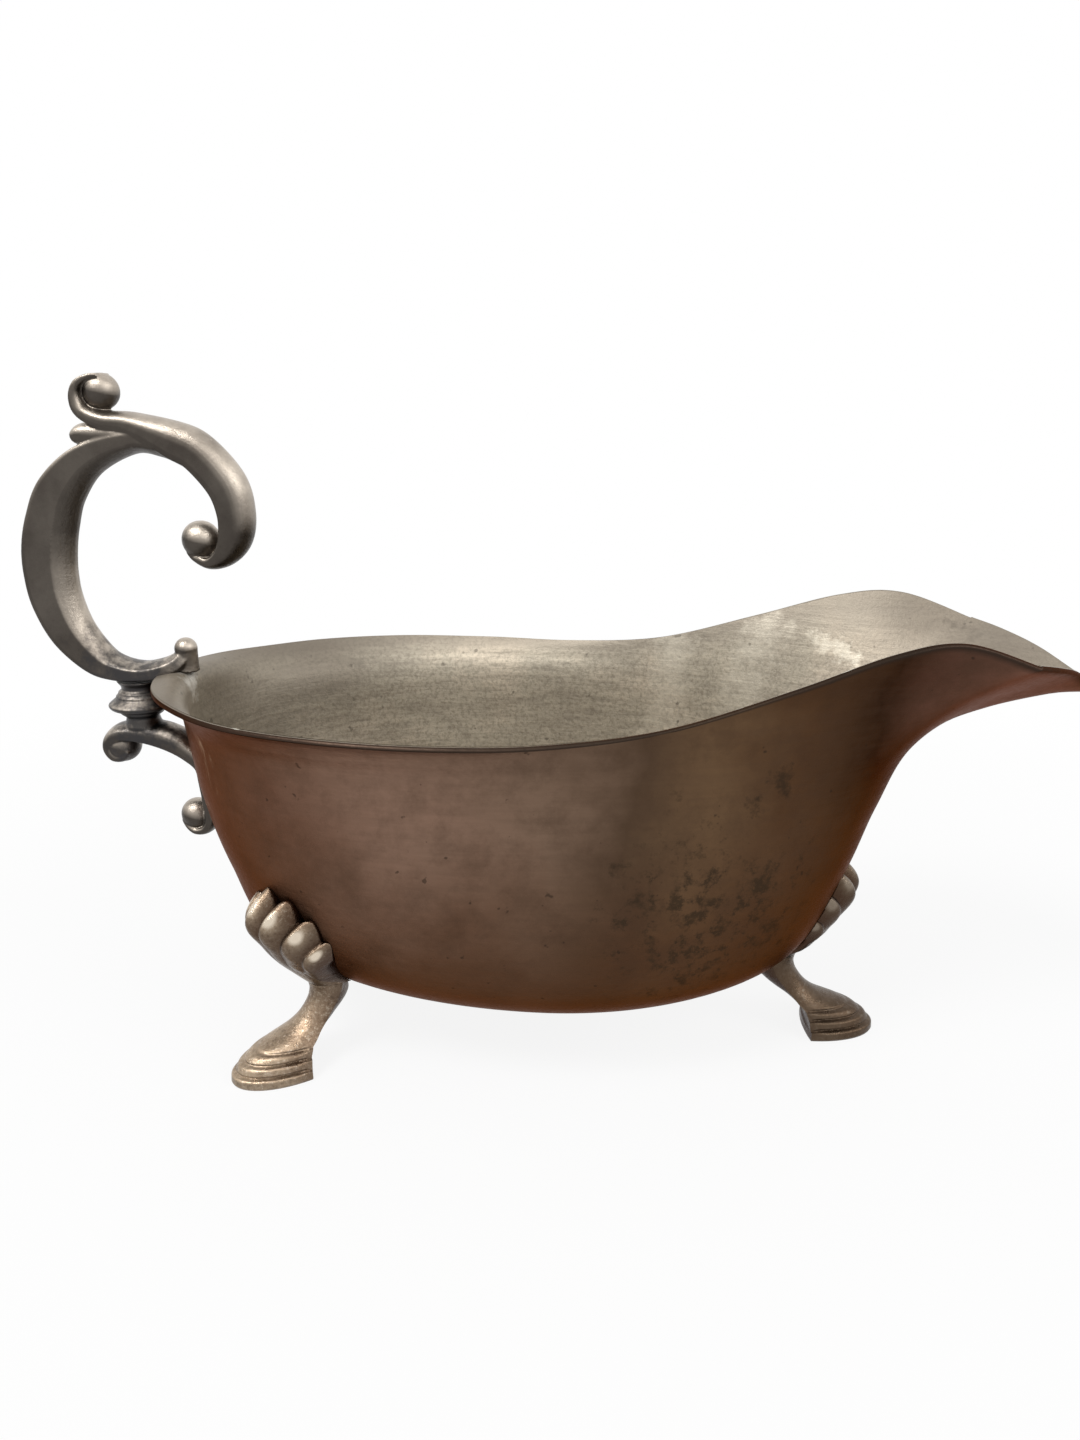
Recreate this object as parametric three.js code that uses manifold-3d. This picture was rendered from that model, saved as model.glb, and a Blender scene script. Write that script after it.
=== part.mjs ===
// Sauce boat: a pewter bowl with a pouring lip, on three cabriole legs with scallop shells,
// and a flying scroll handle over a bracket. Millimetres, +Z up, lip towards +X.
// The finished boat stands on the floor with its length centred on the origin.
import * as THREE from "three";
import { mergeVertices } from "three/addons/utils/BufferGeometryUtils.js";
import Module from "manifold-3d";

const wasm = await Module();
wasm.setup();

// Driving sizes of the bowl
const KEEL_HEIGHT = 8.4; // floor to the lowest point of the bowl
const WALL = 1.6; // wall of the bowl
const RIM_EDGE = 1.1; // thickness of the metal at the rim
const SOLDER_GAP = 0.3; // clearance between pieces that are soldered together
const CUSP_STATION = 157; // where rim and lip meet in a cusp
const FLARE = { reach: 0.42, rise: 0.585 }; // the turn of the rim, as shares of its height
const END_FLARE = { reach: 0.14, rise: 1 }; // the flatter turn at the handle's end
const END_FLARE_STATION = 42; // where the flatter turn is over
// The rim from the handle's end to the cusp: station, along, half width, above the keel
const RIM = [
  [0, -73.6, 0, 61.7],
  [16, -71.4, 11.2, 61.9],
  [32, -64.6, 21.6, 62],
  [50, -51.5, 32.2, 61.9],
  [70, -34.5, 38.2, 61.9],
  [88, -15, 39.9, 61.7],
  [102, 4, 37.9, 61.9],
  [115, 24, 33.8, 64.1],
  [128, 44.4, 30.3, 70.1],
  [140, 60.5, 26.7, 75.3],
  [149, 72, 23.6, 76.4],
  [CUSP_STATION, 84.9, 20.2, 71.9],
];
// The lip from the cusp to its tip
const LIP = [
  RIM[RIM.length - 1],
  [163, 89.6, 16.1, 70.6],
  [171, 95.6, 9, 68.1],
  [180, 102.5, 0, 63.3],
];
// Waterlines of the outside from the keel up, each an oval
const WATERLINES = [
  { rear: -16, front: 24.5, half: 0, height: 0, widest: 4 },
  { rear: -37, front: 34.5, half: 18.1, height: 2.7, widest: 2.5 },
  { rear: -55, front: 51.6, half: 29.7, height: 11.6, widest: 0 },
  { rear: -62, front: 60, half: 35.3, height: 27.8, widest: -6 },
  { rear: -66.1, front: 64.9, half: 36.3, height: 41.7, widest: -10 },
  { rear: -68, front: 70.6, half: 36.4, height: 54, widest: -13 },
];

// Driving sizes of the legs
const SEAM_ABOVE_KEEL = 7.8; // seam between leg and shell
const SEAM_HEIGHT = KEEL_HEIGHT + SEAM_ABOVE_KEEL;
const FRONT_STAND = 9.1; // from the bowl at the seam out to the back of the front sole
const REAR_STAND = 8.5; // the same at the rear
const REAR_STATION = 40; // where the rear legs stand round the bowl
const REAR_TURN = 39.8; // how far the rear toes turn out
const FOOT_LENGTH = 13; // back of the sole to the toe
const FOOT_HALF = 7.2; // half the width of the sole
// The leg from the floor up: height, back, ridge in front, half width, and how far the
// rounded back stands out behind
const LEG_SECTIONS = [
  [0, 0, FOOT_LENGTH - 0.2, FOOT_HALF - 0.2, 1],
  [0.4, 0, FOOT_LENGTH, FOOT_HALF, 1.2],
  [1.8, 0, FOOT_LENGTH - 0.1, FOOT_HALF - 0.1, 1.1],
  [2.1, -0.2, FOOT_LENGTH - 0.8, FOOT_HALF - 0.6, 0.6],
  [3.6, -0.4, FOOT_LENGTH - 1.7, FOOT_HALF - 0.9, 0.4],
  [3.9, -0.5, FOOT_LENGTH - 2.4, FOOT_HALF - 1.4, 0.2],
  [5.2, -1, 8.9, 5.5, 0.2],
  [5.5, -1.2, 8, 5.1, 0.2],
  [6.4, -2.3, 5.4, 4.6, 0.6],
  [7.7, -3.5, 1.9, 4, 1.5],
  [9.6, -5.3, -0.8, 3.5, 2.9],
  [12.2, -7.2, -2.8, 3.4, 3.6],
  [14.4, -8.1, -3.5, 3.7, 2.9],
  [SEAM_HEIGHT, -8.4, -3.2, 4, 1.4],
];

// Driving sizes of the scallop shells
const SHELL_ROOT_HALF = 4.1; // half the width at the seam
const SHELL_HALF = 9.6; // half the greatest width
const SHELL_CENTRE = 12.4; // height of the greatest width above the seam
const SHELL_TOP = 21.6; // height of the shell above the seam
const SHELL_FAN = 110; // how far the fan opens to each side, in degrees
const SHELL_LOBES = 7;
const LOBE_HEIGHT = 1.1; // how far a lobe stands over its grooves
const LOBE_SCALLOP = 1.1; // how far a lobe reaches past its grooves at the edge
const SHELL_DEPTH = 9; // depth behind the ridge before the bowl cuts the back
const ROOT_FALL = 0.3; // roundness across the root, per millimetre squared
const FAN_FALL = 0.074; // roundness across the fan
// The ridge of a shell, out from the back of the sole and up from the seam
const SHELL_RIDGE = [
  [-3.2, 0],
  [-0.2, 3.1],
  [2.8, 6.4],
  [5.2, 10],
  [7.1, 14.2],
  [7.7, 17.8],
  [6.7, SHELL_TOP],
];

// Driving sizes of the handle, measured from the rim's end: along, up, thickness, width
const C_STRAP = [
  [5, 5.1, 3, 5.2],
  [3.5, 3.2, 3.9, 6.2],
  [0.4, 1.9, 3.4, 7],
  [-3.9, 1.2, 3.4, 7.2],
  [-8.6, 1.8, 4.4, 7.2],
  [-12.4, 3.8, 6, 7.2],
  [-16.6, 8.8, 7.7, 7.2],
  [-18.9, 14.7, 8.7, 7.2],
  [-19.5, 19.7, 9.1, 7.2],
  [-19.2, 24.6, 9.3, 7.2],
  [-17.9, 29.8, 8.9, 7.2],
  [-15.3, 35.6, 8, 7.2],
  [-9.6, 41.2, 6, 7.2],
  [-1, 44.3, 4, 7.2],
  [5, 43.9, 4.4, 7],
  [9.4, 42, 4.4, 6.6],
];
const THUMB_STRAP = [
  [-5.4, 56.1, 1, 5.4],
  [-7.5, 55.7, 1.4, 6],
  [-9.3, 54.5, 1.8, 6.4],
  [-9.9, 52.3, 2.3, 6.6],
  [-8.9, 50, 2.8, 6.8],
  [-5.4, 48.5, 3.3, 7],
  [-0.4, 47.9, 3.8, 7.2],
  [7.5, 44.9, 6.6, 7.4],
  [11.8, 42.6, 6.8, 7.4],
  [16.4, 37.1, 6.8, 7.4],
  [17.8, 31.6, 6.2, 7.2],
  [17.2, 27.1, 5.6, 7],
  [15.1, 23.9, 4, 6.6],
  [12.1, 22.4, 2.4, 5.8],
  [9.4, 23.3, 1.6, 5],
];
// The short leaf that fills the corner between the two straps
const LEAF_STRAP = [
  [-0.4, 45.8, 3.4, 7],
  [-6.4, 45.7, 4.6, 7],
  [-9.9, 45.8, 4.2, 6.8],
  [-11.6, 45.2, 2.4, 6],
];
// Each ball sits at the end of its strap, moved along and up from there
const THUMB_BALL = { along: -0.7, up: -2.7, radius: 3.3 };
const INNER_BALL = { along: 0.8, up: 3.4, radius: 3.6 };
const LUG = { along: 0.1, up: 0.5, radius: 2.2 };
const LUG_FOOT = { radius: 2.1, sink: 4.4 }; // neck that runs from the club down to the rim

// Driving sizes of the bracket, measured from the rim's end
const KNOP_ALONG = -5;
// The knop from the arm up: radius, up
const KNOP = [
  [3.6, -10.1],
  [3.1, -8.1],
  [4.2, -7.3],
  [4.4, -6.8],
  [5.8, -6.3],
  [6.2, -5.8],
  [6.2, -5.4],
  [5, -4.4],
  [4.5, -4.1],
  [4.7, -3.8],
  [4.1, -3.3],
  [4.2, -3],
  [3.45, -2.5],
  [3.6, -1.7],
  [4.3, -0.8],
];
const ARM_STRAP = [
  [-7.6, -15.2, 1.2, 6],
  [-8.9, -16.6, 1.6, 6.2],
  [-11, -16.6, 1.9, 6.4],
  [-12.2, -14.8, 2, 6.6],
  [-11.7, -12.7, 2.4, 6.8],
  [-9.6, -11.3, 3, 7],
  [-6.2, -11.1, 3.4, 7],
  [-1.8, -11.5, 4.4, 7],
  [2, -12.9, 4.4, 7],
  [5, -15, 3.8, 7],
  [7.2, -17.6, 3.2, 6.8],
  [7.6, -21.4, 2.8, 6.6],
  [7.9, -25.9, 2.6, 6.4],
  [7.9, -29.4, 2.4, 6.2],
  [6.6, -31.5, 2, 6],
  [4.4, -32, 1.6, 5.6],
  [2.8, -31, 1.2, 5.2],
];
const ARM_UPPER_BALL = { along: -2.1, up: 0.9, radius: 2.8 };
const ARM_LOWER_BALL = { along: 1.4, up: 2.3, radius: 3.2 };

// Facets
const RIM_STEPS = 42; // columns from the handle's end to the cusp
const LIP_STEPS = 8;
const HULL_ROWS = 14;
const STRAP_STEPS = 42;
const LEAF_STEPS = 6;
const LEG_SIDES = 12;
const LOBE_COLUMNS = 6;
const SHELL_ROWS = 7;
const BALL_SIDES = 12;
const KNOP_SIDES = 24;
const SEAM_STEPS = 60; // readings of the hull that find the height of the seam

// A Catmull-Rom curve through rows of numbers, at u from 0 to the last row
function spline(rows, u, before = rows[0], after = rows[rows.length - 1]) {
  const last = rows.length - 2;
  const i = Math.min(last, Math.floor(u));
  const t = u - i;
  const p0 = i === 0 ? before : rows[i - 1];
  const p2 = rows[i + 1];
  const p3 = i === last ? after : rows[i + 2];
  return rows[i].map((value, k) => {
    const m1 = (p2[k] - p0[k]) / 2;
    const m2 = (p3[k] - value) / 2;
    const cubic = 2 * value - 2 * p2[k] + m1 + m2;
    const square = 3 * p2[k] - 3 * value - 2 * m1 - m2;
    return ((cubic * t + square) * t + m1) * t + value;
  });
}

// A straight reading between the rows of a table whose column `key` rises
function lookUp(rows, key, value) {
  const above = rows.findIndex((row) => row[key] >= value);
  const i = above < 0 ? rows.length - 1 : Math.max(1, above);
  const [low, high] = [rows[i - 1], rows[i]];
  const share = (value - low[key]) / (high[key] - low[key]);
  return low.map((v, k) => THREE.MathUtils.lerp(v, high[k], share));
}

function surface(points, index) {
  const geometry = new THREE.BufferGeometry();
  geometry.setAttribute("position", new THREE.Float32BufferAttribute(points.flat(), 3));
  geometry.setIndex(index);
  return geometry;
}

function solid(geometry) {
  const bare = geometry.clone();
  bare.deleteAttribute("normal");
  bare.deleteAttribute("uv");
  const merged = mergeVertices(bare, 1e-4);
  return new wasm.Manifold(
    new wasm.Mesh({
      numProp: 3,
      vertProperties: new Float32Array(merged.attributes.position.array),
      triVerts: new Uint32Array(merged.index.array),
    }),
  );
}

// A closed surface over rings of points, with a fan of faces at each end
function loft(rings) {
  const points = rings.flat();
  const sides = rings[0].length;
  const index = [];
  for (let i = 0; i + 1 < rings.length; i++)
    for (let j = 0; j < sides; j++) {
      const a = i * sides + j;
      const b = i * sides + ((j + 1) % sides);
      index.push(a, b, b + sides, a, b + sides, a + sides);
    }
  const middle = (ring) => [0, 1, 2].map((k) => ring.reduce((sum, p) => sum + p[k], 0) / sides);
  const start = points.push(middle(rings[0])) - 1;
  const end = points.push(middle(rings[rings.length - 1])) - 1;
  const top = (rings.length - 1) * sides;
  for (let j = 0; j < sides; j++) {
    const k = (j + 1) % sides;
    index.push(start, k, j, end, top + j, top + k);
  }
  return surface(points, index);
}

function waterlinePoint({ rear, front, half, height, widest }, station) {
  const angle = THREE.MathUtils.degToRad(station);
  const reach = Math.cos(angle) > 0 ? rear - widest : widest - front;
  return [
    widest + reach * Math.cos(angle),
    half * Math.sin(angle),
    KEEL_HEIGHT + height,
  ];
}

// One column of the hull's outside from the keel to the edge of the rim
function hullColumn([station, along, half, height]) {
  const column = WATERLINES.map((line) => waterlinePoint(line, station));
  const edge = [along, half, KEEL_HEIGHT + height];
  const plain = THREE.MathUtils.smoothstep(station, 0, END_FLARE_STATION);
  const reach = THREE.MathUtils.lerp(END_FLARE.reach, FLARE.reach, plain);
  const rise = THREE.MathUtils.lerp(END_FLARE.rise, FLARE.rise, plain);
  const shares = [reach, reach, rise];
  const shoulder = column[column.length - 1];
  column.push(shoulder.map((v, k) => v + (edge[k] - v) * shares[k]), edge);
  const rows = [];
  for (let i = 0; i <= HULL_ROWS; i++)
    rows.push(spline(column, (i / HULL_ROWS) * (column.length - 1)));
  return rows.map((p) => new THREE.Vector3(...p));
}

// The hull's columns round the whole boat, with the directions square to its outside
function hullGrid() {
  const mirror = (row, turns) => [turns * 360 - row[0], row[1], -row[2], row[3]];
  const beforeEnd = mirror(RIM[1], 0);
  const afterTip = mirror(LIP[LIP.length - 2], 1);
  const half = [];
  for (let i = 0; i < RIM_STEPS; i++)
    half.push(spline(RIM, (i / RIM_STEPS) * (RIM.length - 1), beforeEnd));
  for (let i = 0; i <= LIP_STEPS; i++)
    half.push(spline(LIP, (i / LIP_STEPS) * (LIP.length - 1), LIP[0], afterTip));
  const near = half.map(hullColumn);
  const far = near.slice(1, -1).reverse();
  const columns = [...near, ...far.map((c) => c.map((p) => p.clone().setY(-p.y)))];
  const normals = columns.map((column, j) =>
    column.map((point, i) => {
      const row = Math.max(i, 1);
      const next = columns[(j + 1) % columns.length][row];
      const previous = columns[(j + columns.length - 1) % columns.length][row];
      const up = column[Math.min(i + 1, HULL_ROWS)].clone().sub(column[Math.max(i - 1, 0)]);
      return up.cross(next.clone().sub(previous)).normalize();
    }),
  );
  for (const column of normals) column[0].set(0, 0, -1);
  return { columns, normals };
}

// The hull's outside pushed out by a distance, a list of points column by column
function skin({ columns, normals }, distance) {
  return columns.flatMap((column, j) =>
    column.map((point, i) => {
      const p = point.clone().addScaledVector(normals[j][i], distance(i / HULL_ROWS));
      return [p.x, i === 0 ? 0 : p.y, p.z];
    }),
  );
}

function skinFaces(count, outward, offset = 0) {
  const rows = HULL_ROWS + 1;
  const index = [];
  for (let j = 0; j < count; j++)
    for (let i = 0; i < HULL_ROWS; i++) {
      const a = offset + j * rows + i;
      const b = offset + ((j + 1) % count) * rows + i;
      if (outward) index.push(a, a + 1, b + 1, a, b + 1, b);
      else index.push(a, b, b + 1, a, b + 1, a + 1);
    }
  return index;
}

// The wall of the bowl, grown on every face by a clearance
function bowlWall(grid, clearance) {
  const count = grid.columns.length;
  const rows = HULL_ROWS + 1;
  const wall = (share) => THREE.MathUtils.lerp(WALL, RIM_EDGE, share ** 4);
  const outer = skin(grid, () => clearance);
  const inner = skin(grid, (share) => -wall(share) - clearance);
  const points = [...outer, ...inner];
  [...grid.columns, ...grid.columns].forEach((column, j) => {
    const past = column[HULL_ROWS].clone().sub(column[HULL_ROWS - 1]).setLength(clearance);
    const edge = j * rows + HULL_ROWS;
    points[edge] = past.add(new THREE.Vector3(...points[edge])).toArray();
  });
  const inside = count * rows;
  const index = [...skinFaces(count, true), ...skinFaces(count, false, inside)];
  for (let j = 0; j < count; j++) {
    const a = j * rows + HULL_ROWS;
    const b = ((j + 1) % count) * rows + HULL_ROWS;
    index.push(a, a + inside, b + inside, a, b + inside, b);
  }
  return solid(surface(points, index));
}

// Everything inside the bowl's outside and up to the rim, grown by a clearance
function bowlFilled(grid, clearance) {
  const count = grid.columns.length;
  const rows = HULL_ROWS + 1;
  const points = skin(grid, () => clearance);
  const centre = points.push([0, 0, KEEL_HEIGHT + RIM[0][3]]) - 1;
  const index = skinFaces(count, true);
  for (let j = 0; j < count; j++) {
    const a = j * rows + HULL_ROWS;
    const b = ((j + 1) % count) * rows + HULL_ROWS;
    index.push(a, centre, b);
  }
  return solid(surface(points, index));
}

// Sections of the straps as shares of thickness and width: flat with crisp shoulders on
// one face and rounded on the other, or rounded on both
const FLAT_INSIDE = [
  [-0.5, 0.4], [-0.36, 0.5], [0.1, 0.48], [0.36, 0.34], [0.5, 0.12],
  [0.5, -0.12], [0.36, -0.34], [0.1, -0.48], [-0.36, -0.5], [-0.5, -0.4],
];
const FLAT_OUTSIDE = FLAT_INSIDE.map(([across, aside]) => [-across, aside]).reverse();
const ROUNDED = [
  [-0.5, 0.26], [-0.34, 0.44], [0, 0.5], [0.34, 0.44], [0.5, 0.26],
  [0.5, -0.26], [0.34, -0.44], [0, -0.5], [-0.34, -0.44], [-0.5, -0.26],
];

// Where the handle is measured from: the rim's end, raised by the solder
function rimEnd() {
  return { x: RIM[0][1], z: KEEL_HEIGHT + RIM[0][3] + SOLDER_GAP };
}

// A strap in the plane of symmetry, swept along a table of rows
function strap(table, section, steps = STRAP_STEPS) {
  const { x, z } = rimEnd();
  const last = table.length - 1;
  const rings = [];
  for (let i = 0; i <= steps; i++) {
    const u = (i / steps) * last;
    const [along, up, thick, wide] = spline(table, u);
    const [x1, z1] = spline(table, Math.max(0, u - 0.02));
    const [x2, z2] = spline(table, Math.min(last, u + 0.02));
    const scale = thick / Math.hypot(x2 - x1, z2 - z1);
    rings.push(
      section.map(([across, aside]) => [
        x + along - (z2 - z1) * scale * across,
        aside * wide,
        z + up + (x2 - x1) * scale * across,
      ]),
    );
  }
  return solid(loft(rings));
}

// The centre of a ball that sits at a row of a strap
function ballCentre([rowAlong, rowUp], { along, up }) {
  const { x, z } = rimEnd();
  return { x: x + rowAlong + along, z: z + rowUp + up };
}

function ball(row, size) {
  const { x, z } = ballCentre(row, size);
  const geometry = new THREE.SphereGeometry(size.radius, BALL_SIDES, BALL_SIDES / 2 + 1);
  geometry.rotateX(Math.PI / 2);
  geometry.translate(x, 0, z);
  return solid(geometry);
}

function join(first, ...others) {
  return others.reduce((sum, other) => sum.add(other), first);
}

function lugFoot() {
  const { x, z } = ballCentre(C_STRAP[0], LUG);
  const { radius, sink } = LUG_FOOT;
  const neck = new THREE.CylinderGeometry(radius, radius, sink, BALL_SIDES);
  neck.rotateX(Math.PI / 2);
  neck.translate(x, 0, z - sink / 2);
  return solid(neck);
}

function handleScroll() {
  return join(
    strap(C_STRAP, FLAT_OUTSIDE),
    strap(THUMB_STRAP, FLAT_INSIDE),
    strap(LEAF_STRAP, ROUNDED, LEAF_STEPS),
    ball(THUMB_STRAP[0], THUMB_BALL),
    ball(THUMB_STRAP[THUMB_STRAP.length - 1], INNER_BALL),
    ball(C_STRAP[0], LUG),
    lugFoot(),
  );
}

function knop() {
  const { x, z } = rimEnd();
  const ends = [KNOP[0][1], KNOP[KNOP.length - 1][1]].map((up) => [0, up]);
  const outline = [ends[0], ...KNOP, ends[1]];
  const geometry = new THREE.LatheGeometry(
    outline.map(([radius, up]) => new THREE.Vector2(radius, up)),
    KNOP_SIDES,
  );
  geometry.rotateX(Math.PI / 2);
  geometry.translate(x + KNOP_ALONG, 0, z);
  return solid(geometry);
}

function handleBracket() {
  return join(
    strap(ARM_STRAP, FLAT_INSIDE),
    knop(),
    ball(ARM_STRAP[0], ARM_UPPER_BALL),
    ball(ARM_STRAP[ARM_STRAP.length - 1], ARM_LOWER_BALL),
  );
}

// A leg in its own frame: the back of its sole at the origin, the toe towards +X
function leg() {
  return loft(
    LEG_SECTIONS.map(([height, back, ridge, half, swell]) => {
      const ring = [];
      for (let k = 0; k <= LEG_SIDES; k++) {
        const angle = Math.PI * (k / LEG_SIDES - 0.5);
        const across = Math.sin(angle);
        ring.push([back + (ridge - back) * Math.cos(angle), half * across, height]);
      }
      for (const aside of [0.5, 0, -0.5])
        ring.push([back - swell * (1 - aside ** 2), half * aside, height]);
      return ring;
    }),
  );
}

// A scallop shell in the leg's frame: lobes that fan out of its root over a curved ridge
function shell() {
  const columns = SHELL_LOBES * LOBE_COLUMNS;
  const fan = THREE.MathUtils.degToRad(SHELL_FAN);
  const seam = SEAM_HEIGHT + SOLDER_GAP;
  const front = [];
  const back = [];
  for (let i = 0; i <= SHELL_ROWS; i++)
    for (let j = 0; j <= columns; j++) {
      const share = i / SHELL_ROWS;
      const across = (2 * j) / columns - 1;
      const lobe = Math.abs(Math.sin((Math.PI * j) / LOBE_COLUMNS));
      const reach = share * (1 - (LOBE_SCALLOP / SHELL_HALF) * (1 - lobe) * share);
      const edgeSide = SHELL_HALF * Math.sin(across * fan);
      const edgeUp = SHELL_CENTRE + (SHELL_TOP - SHELL_CENTRE) * Math.cos(across * fan);
      const side = THREE.MathUtils.lerp(SHELL_ROOT_HALF * across, edgeSide, reach);
      const up = edgeUp * reach;
      const [ridge] = lookUp(SHELL_RIDGE, 1, up);
      const open = THREE.MathUtils.smoothstep(reach, 0, 0.4);
      const fall = THREE.MathUtils.lerp(ROOT_FALL, FAN_FALL, open) * side ** 2;
      const relief = LOBE_HEIGHT * (lobe - 1) * Math.min(1, 3 * reach);
      front.push([ridge - fall + relief, side, seam + up]);
      back.push([ridge - fall - SHELL_DEPTH, side, seam + up]);
    }
  const index = [];
  const width = columns + 1;
  const behind = front.length;
  for (let i = 0; i < SHELL_ROWS; i++)
    for (let j = 0; j < columns; j++) {
      const [a, b, c, d] = [0, 1, width + 1, width].map((step) => i * width + j + step);
      index.push(a, b, c, a, c, d);
      index.push(behind + a, behind + c, behind + b, behind + a, behind + d, behind + c);
    }
  const close = (a, b) => index.push(a, a + behind, b + behind, a, b + behind, b);
  for (let j = 0; j < columns; j++) {
    close(j, j + 1);
    close(SHELL_ROWS * width + j + 1, SHELL_ROWS * width + j);
  }
  for (let i = 0; i < SHELL_ROWS; i++) {
    close((i + 1) * width, i * width);
    close(i * width + columns, (i + 1) * width + columns);
  }
  return surface([...front, ...back], index);
}

// Where a leg stands: a point round the bowl at the height of the seam, moved out
function legPlace(station, turn, stand) {
  const column = WATERLINES.map((line) => waterlinePoint(line, station));
  const outside = [];
  for (let i = 0; i <= SEAM_STEPS; i++)
    outside.push(spline(column, (i / SEAM_STEPS) * (column.length - 1)));
  const [x, y] = lookUp(outside, 2, SEAM_HEIGHT);
  const angle = THREE.MathUtils.degToRad(turn);
  return new THREE.Matrix4()
    .makeRotationZ(angle)
    .setPosition(x + stand * Math.cos(angle), y + stand * Math.sin(angle), 0);
}

const grid = hullGrid();
const clearWall = bowlWall(grid, SOLDER_GAP);
const clearHull = bowlFilled(grid, SOLDER_GAP);
const solids = {
  bowl: bowlWall(grid, 0),
  handle_scroll: handleScroll().subtract(clearWall),
  handle_bracket: handleBracket().subtract(clearHull),
};
const places = {
  front: legPlace(180, 0, FRONT_STAND),
  rear_near: legPlace(-REAR_STATION, 180 + REAR_TURN, REAR_STAND),
  rear_far: legPlace(REAR_STATION, 180 - REAR_TURN, REAR_STAND),
};
for (const [where, matrix] of Object.entries(places)) {
  solids[`leg_${where}`] = solid(leg().applyMatrix4(matrix)).subtract(clearHull);
  solids[`knee_shell_${where}`] = solid(shell().applyMatrix4(matrix)).subtract(clearHull);
}

// Colour and roughness of the pewter by the way each piece is worked
const FINISH = {
  bowl: [0x8a7a6a, 0.38],
  handle: [0x76706a, 0.36],
  leg: [0x857867, 0.42],
  knee: [0x857867, 0.4],
};
const sauceBoat = new THREE.Group();
for (const [name, manifold] of Object.entries(solids)) {
  const mesh = manifold.getMesh();
  const geometry = new THREE.BufferGeometry();
  geometry.setAttribute("position", new THREE.Float32BufferAttribute(mesh.vertProperties, 3));
  geometry.setIndex(new THREE.BufferAttribute(mesh.triVerts, 1));
  geometry.computeVertexNormals();
  const [colour, roughness] = FINISH[name.split("_")[0]];
  const material = new THREE.MeshStandardMaterial({ color: colour, roughness, metalness: 1 });
  const made = new THREE.Mesh(geometry, material);
  made.name = name;
  sauceBoat.add(made);
}

// The boat is centred on its length
const box = new THREE.Box3().setFromObject(sauceBoat);
for (const mesh of sauceBoat.children)
  mesh.geometry.translate(-(box.min.x + box.max.x) / 2, 0, 0);

export default sauceBoat;
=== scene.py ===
"""Visual model of the pewter sauce boat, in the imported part's frame: metres, +Z up."""

import math

import bmesh
import bpy
import numpy as np
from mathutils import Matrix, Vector
from mathutils.kdtree import KDTree


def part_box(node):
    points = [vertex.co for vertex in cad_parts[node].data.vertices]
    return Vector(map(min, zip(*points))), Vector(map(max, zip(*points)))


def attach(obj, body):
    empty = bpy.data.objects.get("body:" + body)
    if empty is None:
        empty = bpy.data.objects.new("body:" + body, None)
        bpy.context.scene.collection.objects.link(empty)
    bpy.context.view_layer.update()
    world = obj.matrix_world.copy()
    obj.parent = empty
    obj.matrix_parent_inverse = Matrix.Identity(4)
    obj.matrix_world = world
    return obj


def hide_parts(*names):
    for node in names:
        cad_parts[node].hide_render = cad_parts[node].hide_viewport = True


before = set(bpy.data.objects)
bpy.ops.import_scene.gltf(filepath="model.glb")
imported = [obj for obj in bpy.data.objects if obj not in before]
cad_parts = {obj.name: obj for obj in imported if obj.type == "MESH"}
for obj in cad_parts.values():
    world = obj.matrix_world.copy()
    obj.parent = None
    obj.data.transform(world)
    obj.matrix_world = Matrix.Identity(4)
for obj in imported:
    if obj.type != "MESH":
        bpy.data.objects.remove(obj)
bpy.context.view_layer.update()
MM = 0.001

# Sizes of the bowl, in millimetres, with x measured from a point near its middle
KEEL_HEIGHT = 8.4  # floor to the lowest point of the bowl
WALL = 1.6
RIM_EDGE = 1.1  # thickness of the metal at the rim
THINNING = 4  # power of the height by which the wall thins towards the rim
BEAD_HEIGHT = 0.7  # height of the rim's rounded edge, as a share of half its thickness
SOLDER_GAP = 0.3  # clearance between the handle and the rim
SOLDER_LINE = 0.05  # clearance between a casting and the bowl it is cut to
FLARE = (0.42, 0.585)  # the turn of the rim, as shares of its reach and rise
END_FLARE = (0.14, 1)  # the flatter turn at the handle's end
END_FLARE_STATION = 42  # where the flatter turn is over
KINK_FADE = 0.07  # share of the wall below the rim over which the lip's cusp fades
# The rim from the handle's end to the cusp: station, along, half width, above the keel
RIM = [
    (0, -73.6, 0, 61.7),
    (16, -71.4, 11.2, 61.9),
    (32, -64.6, 21.6, 62),
    (50, -51.5, 32.2, 61.9),
    (70, -34.5, 38.2, 61.9),
    (88, -15, 39.9, 61.7),
    (102, 4, 37.9, 61.9),
    (115, 24, 33.8, 64.1),
    (128, 44.4, 30.3, 70.1),
    (140, 60.5, 26.7, 75.3),
    (149, 72, 23.6, 76.4),
    (157, 84.9, 20.2, 71.9),
]
# The lip from the cusp to its tip
LIP = [RIM[-1], (163, 89.6, 16.1, 70.6), (171, 95.6, 9, 68.1), (180, 102.5, 0, 63.3)]
# Outlines of the outside from the keel up: rear, front, half width, height, widest place
WATERLINES = [
    (-16, 24.5, 0, 0, 4),
    (-37, 34.5, 18.1, 2.7, 2.5),
    (-55, 51.6, 29.7, 11.6, 0),
    (-62, 60, 35.3, 27.8, -6),
    (-66.1, 64.9, 36.3, 41.7, -10),
    (-68, 70.6, 36.4, 54, -13),
]

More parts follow.
